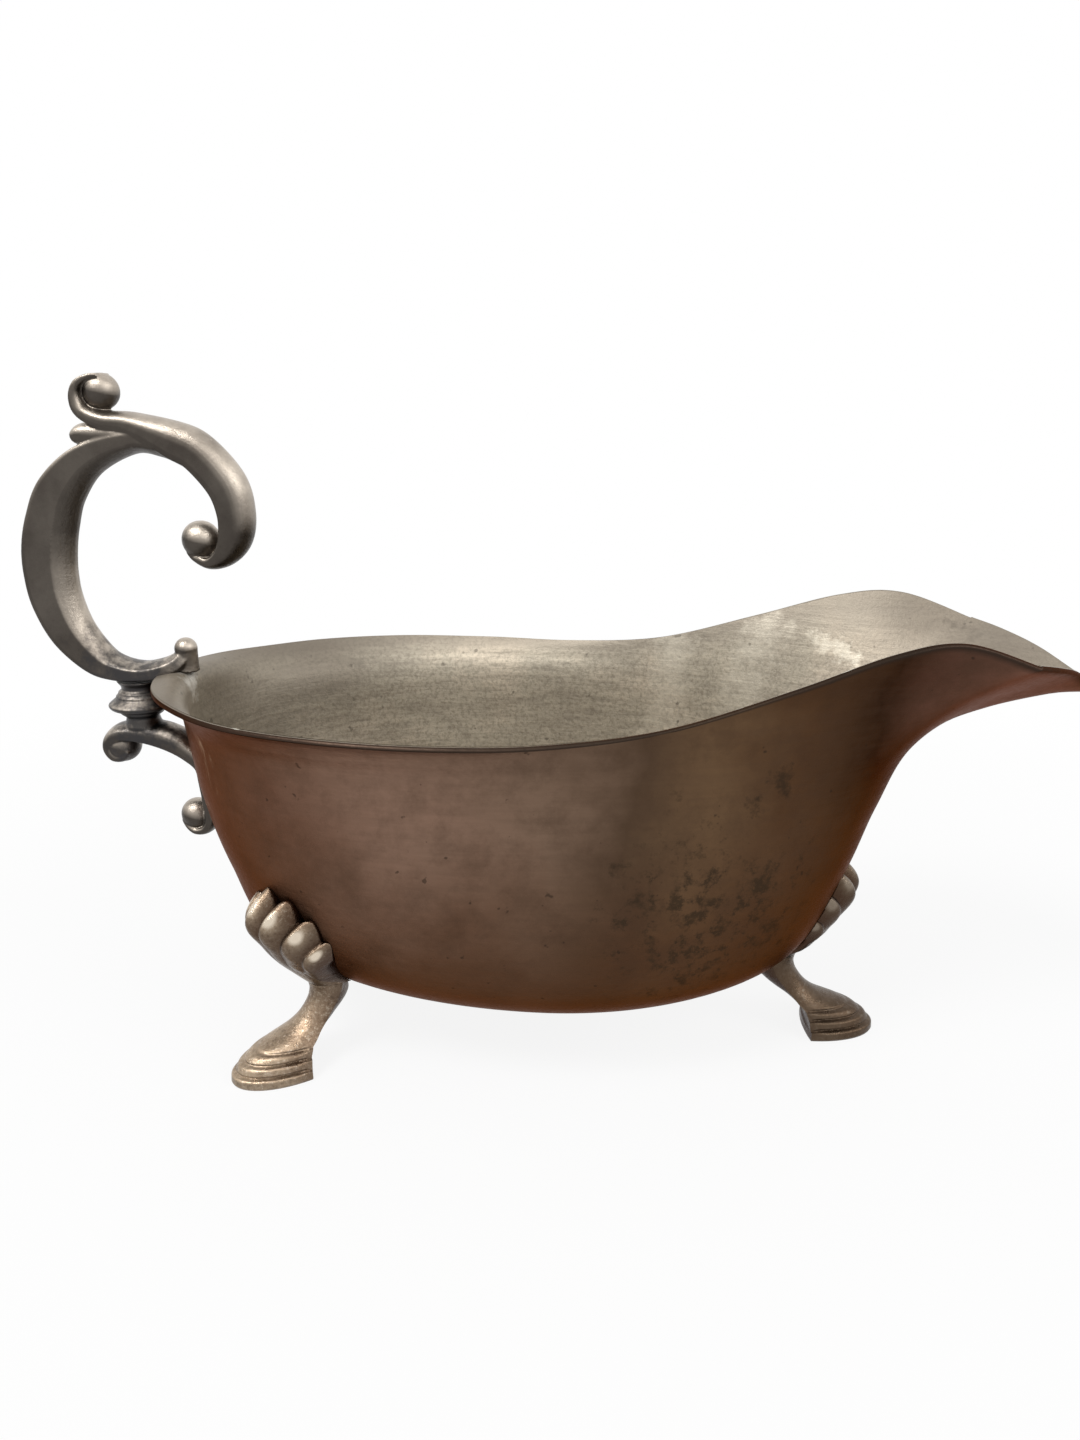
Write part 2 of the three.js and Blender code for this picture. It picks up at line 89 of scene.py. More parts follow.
# Sizes of the legs
SEAM_ABOVE_KEEL = 7.8  # seam between leg and shell
SEAM_HEIGHT = KEEL_HEIGHT + SEAM_ABOVE_KEEL
FRONT_STAND = 9.1  # from the bowl at the seam out to the back of the front sole
REAR_STAND = 8.5  # the same at the rear
TIP_STATION = LIP[-1][0]  # stations go round the bowl in degrees, from the handle's end
REAR_STATION = 40  # where the rear legs stand
REAR_TURN = 39.8  # how far the rear toes turn out, in degrees
FOOT_LENGTH = 13  # back of the sole to the toe
FOOT_HALF = 7.2  # half the width of the sole
SHIN = 6.4  # height at which the hoof's steps are over
# The leg from the floor up: height, back, ridge in front, half width, swell behind
LEG_SECTIONS = [
    (0, 0, FOOT_LENGTH - 0.2, FOOT_HALF - 0.2, 1),
    (0.4, 0, FOOT_LENGTH, FOOT_HALF, 1.2),
    (1.8, 0, FOOT_LENGTH - 0.1, FOOT_HALF - 0.1, 1.1),
    (2.1, -0.2, FOOT_LENGTH - 0.8, FOOT_HALF - 0.6, 0.6),
    (3.6, -0.4, FOOT_LENGTH - 1.7, FOOT_HALF - 0.9, 0.4),
    (3.9, -0.5, FOOT_LENGTH - 2.4, FOOT_HALF - 1.4, 0.2),
    (5.2, -1, 8.9, 5.5, 0.2),
    (5.5, -1.2, 8, 5.1, 0.2),
    (SHIN, -2.3, 5.4, 4.6, 0.6),
    (7.7, -3.5, 1.9, 4, 1.5),
    (9.6, -5.3, -0.8, 3.5, 2.9),
    (12.2, -7.2, -2.8, 3.4, 3.6),
    (14.4, -8.1, -3.5, 3.7, 2.9),
    (SEAM_HEIGHT, -8.4, -3.2, 4, 1.4),
]
HOOF_GROOVES = (2, 3.8, 5.35)  # heights of the fine grooves round the hoof
GROOVE_DEPTH = 0.5
GROOVE_HALF = 0.28  # half the height of a groove
GROOVE_END = 0.3  # cosine of the turn from the toe from which a groove runs out

# Sizes of the scallop shells
SHELL_ROOT_HALF = 4.1  # half the width at the seam
SHELL_HALF = 9.6  # half the greatest width
SHELL_CENTRE = 12.4  # height of the greatest width above the seam
SHELL_TOP = 21.6  # height of the shell above the seam
SHELL_FAN = 110  # how far the fan opens to each side, in degrees
SHELL_DEPTH = 9  # depth behind the ridge before the bowl cuts the back
SHELL_LOBES = 7
FAN_FALL = 0.074  # fall at 1 mm from the fan's middle, which grows with the square
FAN_OPEN = (0, 0.4)  # shares of the reach between which the leg's top becomes the fan
LOBE_HEIGHT = 0.75  # how far a lobe stands over its grooves
LOBE_SCALLOP = 1.4  # how far a lobe reaches past its grooves at the edge
LOBE_POWER = 1.2  # power of the sine across a lobe, lower for a broader lobe
LOBE_SWELL = 1.2  # how far the outer part swells
SWELL_REACH = (0.45, 0.75)  # shares of the reach between which it swells
SWELL_IN_GROOVE = 0.7  # share of the swelling that the grooves have
LOBE_ROLL = 4.6  # how far the end rolls down to the bowl
ROLL_REACH = 0.45  # share of the reach that rolls down
ROLL_IN_GROOVE = 0.8  # share of the roll that the grooves have
CREST_AT = 0.86  # share of the reach at which the lobes get a painted highlight
CREST_HALF = 0.075  # half the length of the painted highlight, as a share of the reach
CREST_POWER = 3  # power of the lobe's height that keeps the bright place narrow
CREST_GAIN = 1.9
TARNISH_AND_SHADE_REACH = (0.1, 0.4)  # shares of the reach between which tarnish and painted shade set in
GROOVE_TARNISH_AND_SHADE = 0.9
LOBE_TARNISH_AND_SHADE = 0.6
# The ridge of a shell, out from the back of the sole and up from the seam
SHELL_RIDGE = [
    (-3.2, 0),
    (-0.2, 3.1),
    (2.8, 6.4),
    (5.2, 10),
    (7.1, 14.2),
    (7.7, 17.8),
    (6.7, SHELL_TOP),
]

# Sizes of handle and bracket, measured from the rim's end
RIM_END = (RIM[0][1], KEEL_HEIGHT + RIM[0][3] + SOLDER_GAP)
# Each strap along its middle: along, up, thickness, width
C_STRAP = [
    (5, 5.1, 2.6, 3.8),
    (3.5, 3.2, 3.4, 5.6),
    (0.4, 1.9, 3.4, 7),
    (-3.9, 1.2, 3.4, 7.2),
    (-8.6, 1.8, 4.4, 7.2),
    (-12.4, 3.8, 6, 7.2),
    (-16.6, 8.8, 7.7, 7.2),
    (-18.9, 14.7, 8.7, 7.2),
    (-19.5, 19.7, 9.1, 7.2),
    (-19.2, 24.6, 9.3, 7.2),
    (-17.9, 29.8, 8.9, 7.2),
    (-15.3, 35.6, 8, 7.2),
    (-9.6, 41.2, 6, 7.2),
    (-1, 44.3, 4, 7.2),
    (5, 43.9, 4.4, 7),
    (9.4, 42, 4.4, 6.6),
]
THUMB_STRAP = [
    (-5.4, 56.1, 1, 5.4),
    (-7.5, 55.7, 1.4, 6),
    (-9.3, 54.5, 1.8, 6.4),
    (-9.9, 52.3, 2.3, 6.6),
    (-8.9, 50, 2.8, 6.8),
    (-5.4, 48.5, 3.3, 7),
    (-0.4, 47.9, 3.8, 7.2),
    (7.5, 44.9, 6.6, 7.4),
    (11.8, 42.6, 6.8, 7.4),
    (16.4, 37.1, 6.8, 7.4),
    (17.8, 31.6, 6.2, 7.2),
    (17.2, 27.1, 5.6, 7),
    (15.1, 23.9, 4, 6.6),
    (12.1, 22.4, 2.4, 5.8),
    (9.4, 23.3, 1.6, 5),
    (7.8, 24.5, 0.7, 3.6),
]
# The short leaf that fills the corner between the two straps
LEAF_STRAP = [
    (-0.4, 45.8, 3.4, 7),
    (-6.4, 45.7, 4.6, 7),
    (-9.9, 45.8, 4.2, 6.8),
    (-11.6, 45.2, 2.4, 6),
]
ARM_STRAP = [
    (-7.6, -15.2, 1.2, 6),
    (-8.9, -16.6, 1.6, 6.2),
    (-11, -16.6, 1.9, 6.4),
    (-12.2, -14.8, 2, 6.6),
    (-11.7, -12.7, 2.4, 6.8),
    (-9.6, -11.3, 3, 7),
    (-6.2, -11.1, 3.4, 7),
    (-1.8, -11.5, 4.4, 7),
    (2, -12.9, 4.4, 7),
    (5, -15, 3.8, 7),
    (7.2, -17.6, 3.2, 6.8),
    (7.6, -21.4, 2.8, 6.6),
    (7.9, -25.9, 2.6, 6.4),
    (7.9, -29.4, 2.4, 6.2),
    (6.6, -31.5, 2, 6),
    (4.4, -32, 1.6, 5.6),
    (2.8, -31, 1.2, 5.2),
    (1.6, -29.6, 0.7, 3.8),
]
# Each ball from the end row of its strap: along, up, radius
THUMB_BALL = (-0.7, -2.7, 3.3)
INNER_BALL = (2.4, 2.2, 3.6)
LUG_BALL = (0.1, 0.5, 2.2)
ARM_UPPER_BALL = (-2.1, 0.9, 3.5)
ARM_LOWER_BALL = (2.6, 0.9, 3.2)
# The lug's neck down to the rim: radius, and up from the middle of its ball
LUG_NECK = [(2.3, -4.4), (2.2, -3.8), (2.15, -3), (2.15, 0)]
# The turned knop: its place along, then radius and height from the bottom up
KNOP_ALONG = -5
KNOP = [
    (3.6, -10.1),
    (3.1, -8.1),
    (4.2, -7.3),
    (4.4, -6.8),
    (5.8, -6.3),
    (6.2, -5.8),
    (6.2, -5.4),
    (5, -4.4),
    (4.5, -4.1),
    (4.7, -3.8),
    (4.1, -3.3),
    (4.2, -3),
    (3.45, -2.5),
    (3.6, -1.7),
    (4.3, -0.8),
]
# Cross sections of the straps, as shares of thickness and width
FLAT_CORNER = [(-0.5, 0.42), (-0.47, 0.48), (-0.38, 0.5)]
ARC_MIDDLE = 0.02  # where the rounded back's arc is centred across the strap
RIDGED_HALF = [(0.495, -0.43), (0.46, -0.49), (0.4, -0.5), (-0.15, -0.5), (-0.18, -0.485)]
RIDGED_HALF += [(-0.27, -0.42), (-0.37, -0.32), (-0.45, -0.21), (-0.5, -0.07)]
OVAL_POWER = 2.6  # power of the leaf's oval, over 2 for fuller corners

# Fineness of the meshes
RIM_STEPS = 220
LIP_STEPS = 44
HULL_ROWS = 90
KINK_ROUNDS = 70
STRAP_STEPS = 260
SHELL_ROWS = 48
LOBE_COLUMNS = 28
LEG_SIDES = 60
LEG_STEPS = 140
HOOF_STEPS = 14
VOXEL = 0.2
BEAD_STEPS = 3
LEAF_STEPS = 30
ARC_STEPS = 14
OVAL_SIDES = 28
BALL_SIDES = 32
KNOP_SIDES = 64
HEEL_SIDES = 8
CUTTER_STEP = 2  # the cutter takes every second column of the bowl
SEAM_STEPS = 400  # steps up the bowl in the search for the height of the seam
RIDGE_STEPS = 120
CASTING_ROUNDS = 4  # rounds of smoothing on a casting
SHARP = 35  # degrees between faces from which an edge stays sharp
BOWL_SHARP = 60
SHELL_SHARP = 50
WELD = 1e-7  # metres within which points are one

# The lip's tip is the highest x of both models, which gives the shift to the part's frame
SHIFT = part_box("bowl")[1][0] / MM - LIP[-1][1]


def smoothstep(value, low, high):
    t = min(1.0, max(0.0, (value - low) / (high - low)))
    return t * t * (3 - 2 * t)


def lerp(a, b, t):
    return a + (b - a) * t


def in_frame(point):
    """A place in millimetres as metres in the part's frame."""
    return (np.array(point, float) + (SHIFT, 0, 0)) * MM


def spline(rows, u, before=None, after=None):
    """Catmull-Rom curve through rows of numbers, at u from 0 to the last row.

    before and after: the rows beyond the ends, where the curve goes on past them.
    """
    last = len(rows) - 2
    i = min(last, int(u))
    t = u - i
    first_neighbour = rows[0] if before is None else before
    last_neighbour = rows[-1] if after is None else after
    p0 = np.array(rows[i - 1] if i else first_neighbour, float)
    p1, p2 = np.array(rows[i], float), np.array(rows[i + 1], float)
    p3 = np.array(rows[i + 2] if i < last else last_neighbour, float)
    m1, m2 = (p2 - p0) / 2, (p3 - p1) / 2
    cubic = 2 * p1 - 2 * p2 + m1 + m2
    square = 3 * p2 - 3 * p1 - 2 * m1 - m2
    return ((cubic * t + square) * t + m1) * t + p1


def sweep_rows(rows, steps, before=None):
    last = len(rows) - 1
    return np.array([spline(rows, last * i / steps, before) for i in range(steps + 1)])


def make_object(name, points, faces, sharp=SHARP, finishes=None, shares=None):
    """A mesh object from millimetre points.

    finishes: each face's material. shares: each point's share of the way up the wall.
    """
    mesh = bpy.data.meshes.new(name)
    mesh.from_pydata(in_frame(points).tolist(), [], [list(f) for f in faces])
    if finishes is not None:
        mesh.polygons.foreach_set("material_index", finishes)
    if shares is not None:
        mesh.attributes.new("share", "FLOAT", "POINT").data.foreach_set("value", shares)
    bm = bmesh.new()
    bm.from_mesh(mesh)
    bmesh.ops.remove_doubles(bm, verts=bm.verts, dist=WELD)
    bmesh.ops.recalc_face_normals(bm, faces=bm.faces)
    bm.to_mesh(mesh)
    bm.free()
    for polygon in mesh.polygons:
        polygon.use_smooth = True
    mesh.set_sharp_from_angle(angle=math.radians(sharp))
    obj = bpy.data.objects.new(name, mesh)
    bpy.context.scene.collection.objects.link(obj)
    return obj


def tube_faces(rings, sides, closed_ends=True):
    """Quads over rings of points and, for closed ends, a polygon at each."""
    faces = []
    for i in range(rings - 1):
        for j in range(sides):
            a, b = i * sides + j, i * sides + (j + 1) % sides
            faces.append((a, b, b + sides, a + sides))
    if closed_ends:
        faces.append(tuple(reversed(range(sides))))
        faces.append(tuple((rings - 1) * sides + j for j in range(sides)))
    return faces


def join_solids(name, solids):
    """Several closed point-and-face lists as one object."""
    points, faces = [], []
    for some_points, some_faces in solids:
        base = len(points)
        points.extend(some_points)
        faces.extend(tuple(base + k for k in f) for f in some_faces)
    return make_object(name, points, faces)


def modified(obj, add_modifiers):
    """The object with its mesh replaced by what the added modifiers make of it."""
    add_modifiers(obj)
    graph = bpy.context.evaluated_depsgraph_get()
    baked = bpy.data.meshes.new_from_object(obj.evaluated_get(graph))
    obj.modifiers.clear()
    old = obj.data
    obj.data = baked
    baked.name = obj.name
    bpy.data.meshes.remove(old)
    return obj


def cast_together(obj):
    """Melts overlapping solids into one casting with soft inner corners."""

    def melt_and_soften(o):
        remesh = o.modifiers.new("melt", "REMESH")
        remesh.mode = "VOXEL"
        remesh.voxel_size = VOXEL * MM
        remesh.use_smooth_shade = True
        soften = o.modifiers.new("soften", "SMOOTH")
        soften.factor = 0.5
        soften.iterations = CASTING_ROUNDS

    return modified(obj, melt_and_soften)


def cut_away(obj, cutter):
    def cut(o):
        difference = o.modifiers.new("cut", "BOOLEAN")
        difference.operation = "DIFFERENCE"
        difference.solver = "EXACT"
        difference.object = cutter

    return modified(obj, cut)


def waterline_point(line, station):
    rear, front, half, height, widest = line
    angle = math.radians(station)
    reach = rear - widest if math.cos(angle) > 0 else widest - front
    return (
        widest + reach * math.cos(angle),
        half * math.sin(angle),
        KEEL_HEIGHT + height,
    )


def hull_column(row):
    """The outside from the keel up to one station of the rim."""
    station, along, half, height = row
    column = [waterline_point(line, station) for line in WATERLINES]
    edge = np.array((along, half, KEEL_HEIGHT + height))
    plain = smoothstep(station, 0, END_FLARE_STATION)
    reach, rise = (lerp(a, b, plain) for a, b in zip(END_FLARE, FLARE))
    shoulder = np.array(column[-1])
    column.append(shoulder + (edge - shoulder) * (reach, reach, rise))
    column.append(edge)
    across_the_keel = np.array(column[1]) * (1, -1, 1)
    return sweep_rows(column, HULL_ROWS, across_the_keel)


def hull_grid():
    """Columns round the whole boat and the directions square to its outside."""

    def mirror(row, turns):
        return (turns * 360 - row[0], row[1], -row[2], row[3])

    before_end, after_tip = mirror(RIM[1], 0), mirror(LIP[-2], 1)
    half = [
        spline(RIM, i / RIM_STEPS * (len(RIM) - 1), before_end)
        for i in range(RIM_STEPS)
    ]
    half += [
        spline(LIP, i / LIP_STEPS * (len(LIP) - 1), LIP[0], after_tip)
        for i in range(LIP_STEPS + 1)
    ]
    near = np.array([hull_column(row) for row in half])
    near[:, 0, 1] = 0
    grid = np.concatenate([near, (near * (1, -1, 1))[-2:0:-1]])
    even = grid.copy()
    for _ in range(KINK_ROUNDS):
        even = (np.roll(even, 1, 0) + 2 * even + np.roll(even, -1, 0)) / 4
    below = np.linspace(1, 0, grid.shape[1])
    fade = np.array([smoothstep(b, 0, KINK_FADE) for b in below]).reshape(1, -1, 1)
    grid = lerp(grid, even, fade)
    up = np.empty_like(grid)
    up[:, 1:-1] = grid[:, 2:] - grid[:, :-2]
    up[:, 0], up[:, -1] = grid[:, 1] - grid[:, 0], grid[:, -1] - grid[:, -2]
    rounds = np.roll(grid, -1, 0) - np.roll(grid, 1, 0)
    rounds[:, 0] = rounds[:, 1]
    normal = np.cross(up, rounds)
    normal /= np.linalg.norm(normal, axis=2, keepdims=True)
    normal[:, 0] = (0, 0, -1)
    return grid, normal


GRID, NORMAL = hull_grid()


def skin(distance):
    """The grid moved out by a distance for each of its rows."""
    points = GRID + NORMAL * np.asarray(distance).reshape(1, -1, 1)
    points[:, 0, 1] = 0
    return points


def make_bowl():
    count, rows = GRID.shape[:2]
    share = np.linspace(0, 1, rows)
    outer = skin(np.zeros(rows))
    inner = skin(-(WALL + (RIM_EDGE - WALL) * share**THINNING))
    middle = (outer[:, -1] + inner[:, -1]) / 2
    out = (outer[:, -1] - inner[:, -1]) / 2
    up = outer[:, -1] - outer[:, -2]
    up /= np.linalg.norm(up, axis=1, keepdims=True)
    up *= np.linalg.norm(out, axis=1, keepdims=True) * BEAD_HEIGHT
    beads = []
    for k in range(1, 2 * BEAD_STEPS):
        angle = math.pi * k / (2 * BEAD_STEPS)
        beads.append(middle + out * math.cos(angle) + up * (math.sin(angle) - 1))
    rings = [outer[:, i] for i in range(rows - 1)]
    rings.append(outer[:, -1] - up)
    rings += beads
    rings.append(inner[:, -1] - up)
    rings += [inner[:, i] for i in range(rows - 2, -1, -1)]
    up_the_wall = [*share, *[1] * (2 * BEAD_STEPS - 1), *share[::-1]]
    shares = np.repeat(up_the_wall, count)
    faces = tube_faces(len(rings), count, closed_ends=False)
    inside = len(faces) - (rows + BEAD_STEPS) * count
    finishes = [0] * (len(faces) - inside) + [1] * inside
    points = np.array(rings).reshape(-1, 3)
    return make_object("bowl_body", points, faces, BOWL_SHARP, finishes, shares)


def make_cutter():
    """Everything inside the bowl's outside, grown by the line of the solder."""
    points = skin(np.full(GRID.shape[1], SOLDER_LINE))[::CUTTER_STEP]
    count, rows = points.shape[:2]
    flat = [tuple(p) for p in points.transpose(1, 0, 2).reshape(-1, 3)]
    flat.append((0, 0, KEEL_HEIGHT + RIM[0][3]))
    faces = tube_faces(rows, count, closed_ends=False)
    top, lid = (rows - 1) * count, len(flat) - 1
    faces += [(top + j, top + (j + 1) % count, lid) for j in range(count)]
    cutter = make_object("cutter", flat, faces)
    cutter.hide_render = True
    return cutter


def flat_backed():
    """Flat inside with crisp shoulders, rounded outside."""
    ring = list(FLAT_CORNER)
    for k in range(ARC_STEPS + 1):
        angle = math.pi * k / ARC_STEPS
        across = ARC_MIDDLE + (0.5 - ARC_MIDDLE) * math.sin(angle)
        ring.append((across, 0.5 * math.cos(angle)))
    return ring + [(across, -aside) for across, aside in reversed(FLAT_CORNER)]


def ridged():
    """Flat outside and flanks, with an arris from which the inside narrows."""
    return RIDGED_HALF + [(across, -aside) for across, aside in reversed(RIDGED_HALF)]


def oval():
    ring = []
    for k in range(OVAL_SIDES):
        angle = math.tau * (k + 0.5) / OVAL_SIDES
        c, s = math.cos(angle), math.sin(angle)
        across = -0.5 * math.copysign(abs(c) ** (2 / OVAL_POWER), c)
        ring.append((across, 0.5 * math.copysign(abs(s) ** (2 / OVAL_POWER), s)))
    return ring


def strap(table, section, steps=STRAP_STEPS):
    """A section swept along a table of along, up, thickness and width."""
    rows = sweep_rows(table, steps)
    along = np.gradient(rows[:, :2], axis=0)
    along /= np.linalg.norm(along, axis=1, keepdims=True)
    points = []
    for (x, z, thick, wide), (tx, tz) in zip(rows, along):
        for across, aside in section:
            points.append(
                (
                    RIM_END[0] + x - tz * across * thick,
                    aside * wide,
                    RIM_END[1] + z + tx * across * thick,
                )
            )
    return points, tube_faces(steps + 1, len(section))


def turned(profile, along):
    """A turned solid from its profile of radius and height."""
    points = []
    for radius, up in profile:
        for j in range(KNOP_SIDES):
            turn = math.tau * j / KNOP_SIDES
            x = RIM_END[0] + along + radius * math.cos(turn)
            points.append((x, radius * math.sin(turn), RIM_END[1] + up))
    return points, tube_faces(len(profile), KNOP_SIDES)


def ball(row, spec):
    """A ball placed from the end row of a strap."""
    along, up, radius = row[0] + spec[0], row[1] + spec[1], spec[2]
    points = []
    for i in range(1, BALL_SIDES // 2):
        polar = math.tau * i / BALL_SIDES
        for j in range(BALL_SIDES):
            turn = math.tau * j / BALL_SIDES
            points.append(
                (
                    RIM_END[0] + along + radius * math.sin(polar) * math.cos(turn),
                    radius * math.sin(polar) * math.sin(turn),
                    RIM_END[1] + up - radius * math.cos(polar),
                )
            )
    return points, tube_faces(BALL_SIDES // 2 - 1, BALL_SIDES)


def make_handle():
    lug_along, lug_up = C_STRAP[0][0] + LUG_BALL[0], C_STRAP[0][1] + LUG_BALL[1]
    neck = [(radius, lug_up + up) for radius, up in LUG_NECK]
    return join_solids(
        "handle_casting",
        [
            strap(C_STRAP, ridged()),
            strap(THUMB_STRAP, flat_backed()),
            strap(LEAF_STRAP, oval(), LEAF_STEPS),
            ball(THUMB_STRAP[0], THUMB_BALL),
            ball(THUMB_STRAP[-1], INNER_BALL),
            ball(C_STRAP[0], LUG_BALL),
            turned(neck, lug_along),
        ],
    )


def make_bracket():
    return join_solids(
        "bracket_casting",
        [
            strap(ARM_STRAP, flat_backed()),
            turned(KNOP, KNOP_ALONG),
            ball(ARM_STRAP[0], ARM_UPPER_BALL),
            ball(ARM_STRAP[-1], ARM_LOWER_BALL),
        ],
    )


def leg_place(station, turn, stand):
    """Where the back of a sole stands, and which way its toe points."""
    column = [waterline_point(line, station) for line in WATERLINES]
    rows = sweep_rows(column, SEAM_STEPS)
    i = int(np.argmax(rows[:, 2] >= SEAM_HEIGHT))
    share = (SEAM_HEIGHT - rows[i - 1, 2]) / (rows[i, 2] - rows[i - 1, 2])
    x, y, _ = lerp(rows[i - 1], rows[i], share)
    angle = math.radians(turn)
    return x + stand * math.cos(angle), y + stand * math.sin(angle), angle


def placed(points, place):
    x, y, angle = place
    c, s = math.cos(angle), math.sin(angle)
    p = np.asarray(points, float)
    return np.stack(
        [x + p[:, 0] * c - p[:, 1] * s, y + p[:, 0] * s + p[:, 1] * c, p[:, 2]], axis=1
    )


def leg_sections():
    """The sections with more levels between them: straight in the hoof, curved above."""
    hoof = [r for r in LEG_SECTIONS if r[0] < SHIN]
    shin = [r for r in LEG_SECTIONS if r[0] >= SHIN]
    rows = []
    for low, high in zip(hoof, hoof[1:] + shin[:1]):
        for k in range(HOOF_STEPS):
            rows.append(lerp(np.array(low, float), np.array(high, float), k / HOOF_STEPS))
    rows.extend(sweep_rows(shin, LEG_STEPS))
    return rows


def leg_solid():
    points = []
    rows = leg_sections()
    for height, back, ridge, half, swell in rows:
        cut = GROOVE_DEPTH * sum(
            math.exp(-(((height - groove) / GROOVE_HALF) ** 2)) for groove in HOOF_GROOVES
        )
        for k in range(LEG_SIDES + 1):
            angle = math.pi * (k / LEG_SIDES - 0.5)
            sunk = cut * smoothstep(math.cos(angle), 0, GROOVE_END)
            forward = (ridge - sunk - back) * math.cos(angle)
            points.append((back + forward, (half - sunk) * math.sin(angle), height))
        for k in range(1, HEEL_SIDES):
            aside = 1 - 2 * k / HEEL_SIDES
            points.append((back - swell * (1 - aside**2), half * aside, height))
    return points, tube_faces(len(rows), LEG_SIDES + HEEL_SIDES)


def shell_solid():
    """A shell's points and faces, and how far its front is lit by a painted highlight (1)
    or tarnished and darkened by painted shade (-1).
    """
    columns = SHELL_LOBES * LOBE_COLUMNS
    fan = math.radians(SHELL_FAN)
    seam = SEAM_HEIGHT + SOLDER_LINE
    _, top_back, top_ridge, top_half, _ = LEG_SECTIONS[-1]
    curve = sweep_rows(SHELL_RIDGE, RIDGE_STEPS)
    front, back, highlight_and_shade = [], [], []
    for i in range(SHELL_ROWS + 1):
        for j in range(columns + 1):
            share = i / SHELL_ROWS
            across = 2 * j / columns - 1
            lobe = abs(math.sin(math.pi * j / LOBE_COLUMNS)) ** LOBE_POWER
            reach = share * (1 - LOBE_SCALLOP / SHELL_HALF * (1 - lobe) * share)
            edge_side = SHELL_HALF * math.sin(across * fan)
            edge_up = SHELL_CENTRE + (SHELL_TOP - SHELL_CENTRE) * math.cos(across * fan)
            side = lerp(SHELL_ROOT_HALF * across, edge_side, reach)
            up = edge_up * reach
            ridge = float(np.interp(up, curve[:, 1], curve[:, 0]))
            flank = min(1.0, abs(side) / top_half)
            root_fall = (top_ridge - top_back) * (1 - math.sqrt(1 - flank**2))
            opened = smoothstep(reach, *FAN_OPEN)
            fall = lerp(root_fall, FAN_FALL * side**2, opened)
            swell = LOBE_SWELL * lerp(SWELL_IN_GROOVE, 1, lobe)
            end = max(0.0, share - 1 + ROLL_REACH) / ROLL_REACH
            relief = LOBE_HEIGHT * (lobe - 1) * smoothstep(reach, 0, 1)
            relief += swell * smoothstep(reach, *SWELL_REACH)
            relief -= LOBE_ROLL * end**2 * lerp(ROLL_IN_GROOVE, 1, lobe)
            front.append((ridge - fall + relief, side, seam + up))
            back.append((ridge - fall - SHELL_DEPTH, side, seam + up))
            # Painted highlight on each lobe's crest, and tarnish with painted shade, most
            # in the grooves
            off_crest = (share - CREST_AT) / CREST_HALF
            wear_and_highlight = CREST_GAIN * lobe**CREST_POWER * math.exp(-(off_crest**2))
            tarnish_and_shade = lerp(GROOVE_TARNISH_AND_SHADE, LOBE_TARNISH_AND_SHADE, lobe)
            tarnish_and_shade *= smoothstep(share, *TARNISH_AND_SHADE_REACH)
            highlight_and_shade.append(max(-1.0, min(1.0, wear_and_highlight - tarnish_and_shade)))
    width = columns + 1
    behind = len(front)
    faces = []
    for i in range(SHELL_ROWS):
        for j in range(columns):
            a = i * width + j
            faces.append((a, a + 1, a + 1 + width, a + width))
            faces.append(tuple(behind + k for k in (a + width, a + 1 + width, a + 1, a)))
    rim = list(range(width))
    rim += [i * width + columns for i in range(1, SHELL_ROWS + 1)]
    rim += [SHELL_ROWS * width + j for j in range(columns - 1, -1, -1)]
    rim += [i * width for i in range(SHELL_ROWS - 1, 0, -1)]
    for k, a in enumerate(rim):
        b = rim[(k + 1) % len(rim)]
        faces.append((a, a + behind, b + behind, b))
    return front + back, faces, highlight_and_shade


def mark_crests(obj, points, highlight_and_shade):
    """Writes the painted highlight and shade of the nearest front point onto each point
    of the mesh.
    """
    tree = KDTree(len(highlight_and_shade))
    for k in range(len(highlight_and_shade)):
        tree.insert(Vector(in_frame(points[k])), k)
    tree.balance()
    attribute = obj.data.attributes.new("crest", "FLOAT", "POINT")
    values = [highlight_and_shade[tree.find(vertex.co)[1]] for vertex in obj.data.vertices]
    attribute.data.foreach_set("value", values)


def add_node(tree, kind, out, inputs=(), **settings):
    """One output of a new shader node whose inputs are linked or set."""
    node = tree.nodes.new("ShaderNode" + kind)
    for key, value in settings.items():
        setattr(node, key, value)
    for key, value in dict(inputs).items():
        if isinstance(value, bpy.types.NodeSocket):
            tree.links.new(value, node.inputs[key])
        else:
            node.inputs[key].default_value = value
    return node.outputs[out]


def new_material(name):
    material = bpy.data.materials.new(name)
    material.use_nodes = True
    tree = material.node_tree
    return material, tree, tree.nodes["Principled BSDF"]


# Each noise of a finish: scale, detail, roughness and, where it runs one way, stretch
# Each band: the value at its low and high end, then the share that each end gives
EVEN = (1, 1, 1)  # no stretch
NOISE_SPREAD = (0.3, 0.7)  # the values that nearly all of a noise lies between
RAGGED_NOISE = (300, 4, 0.7)
SPOT_CORE = 0.3  # share of a spot's radius that it covers in full


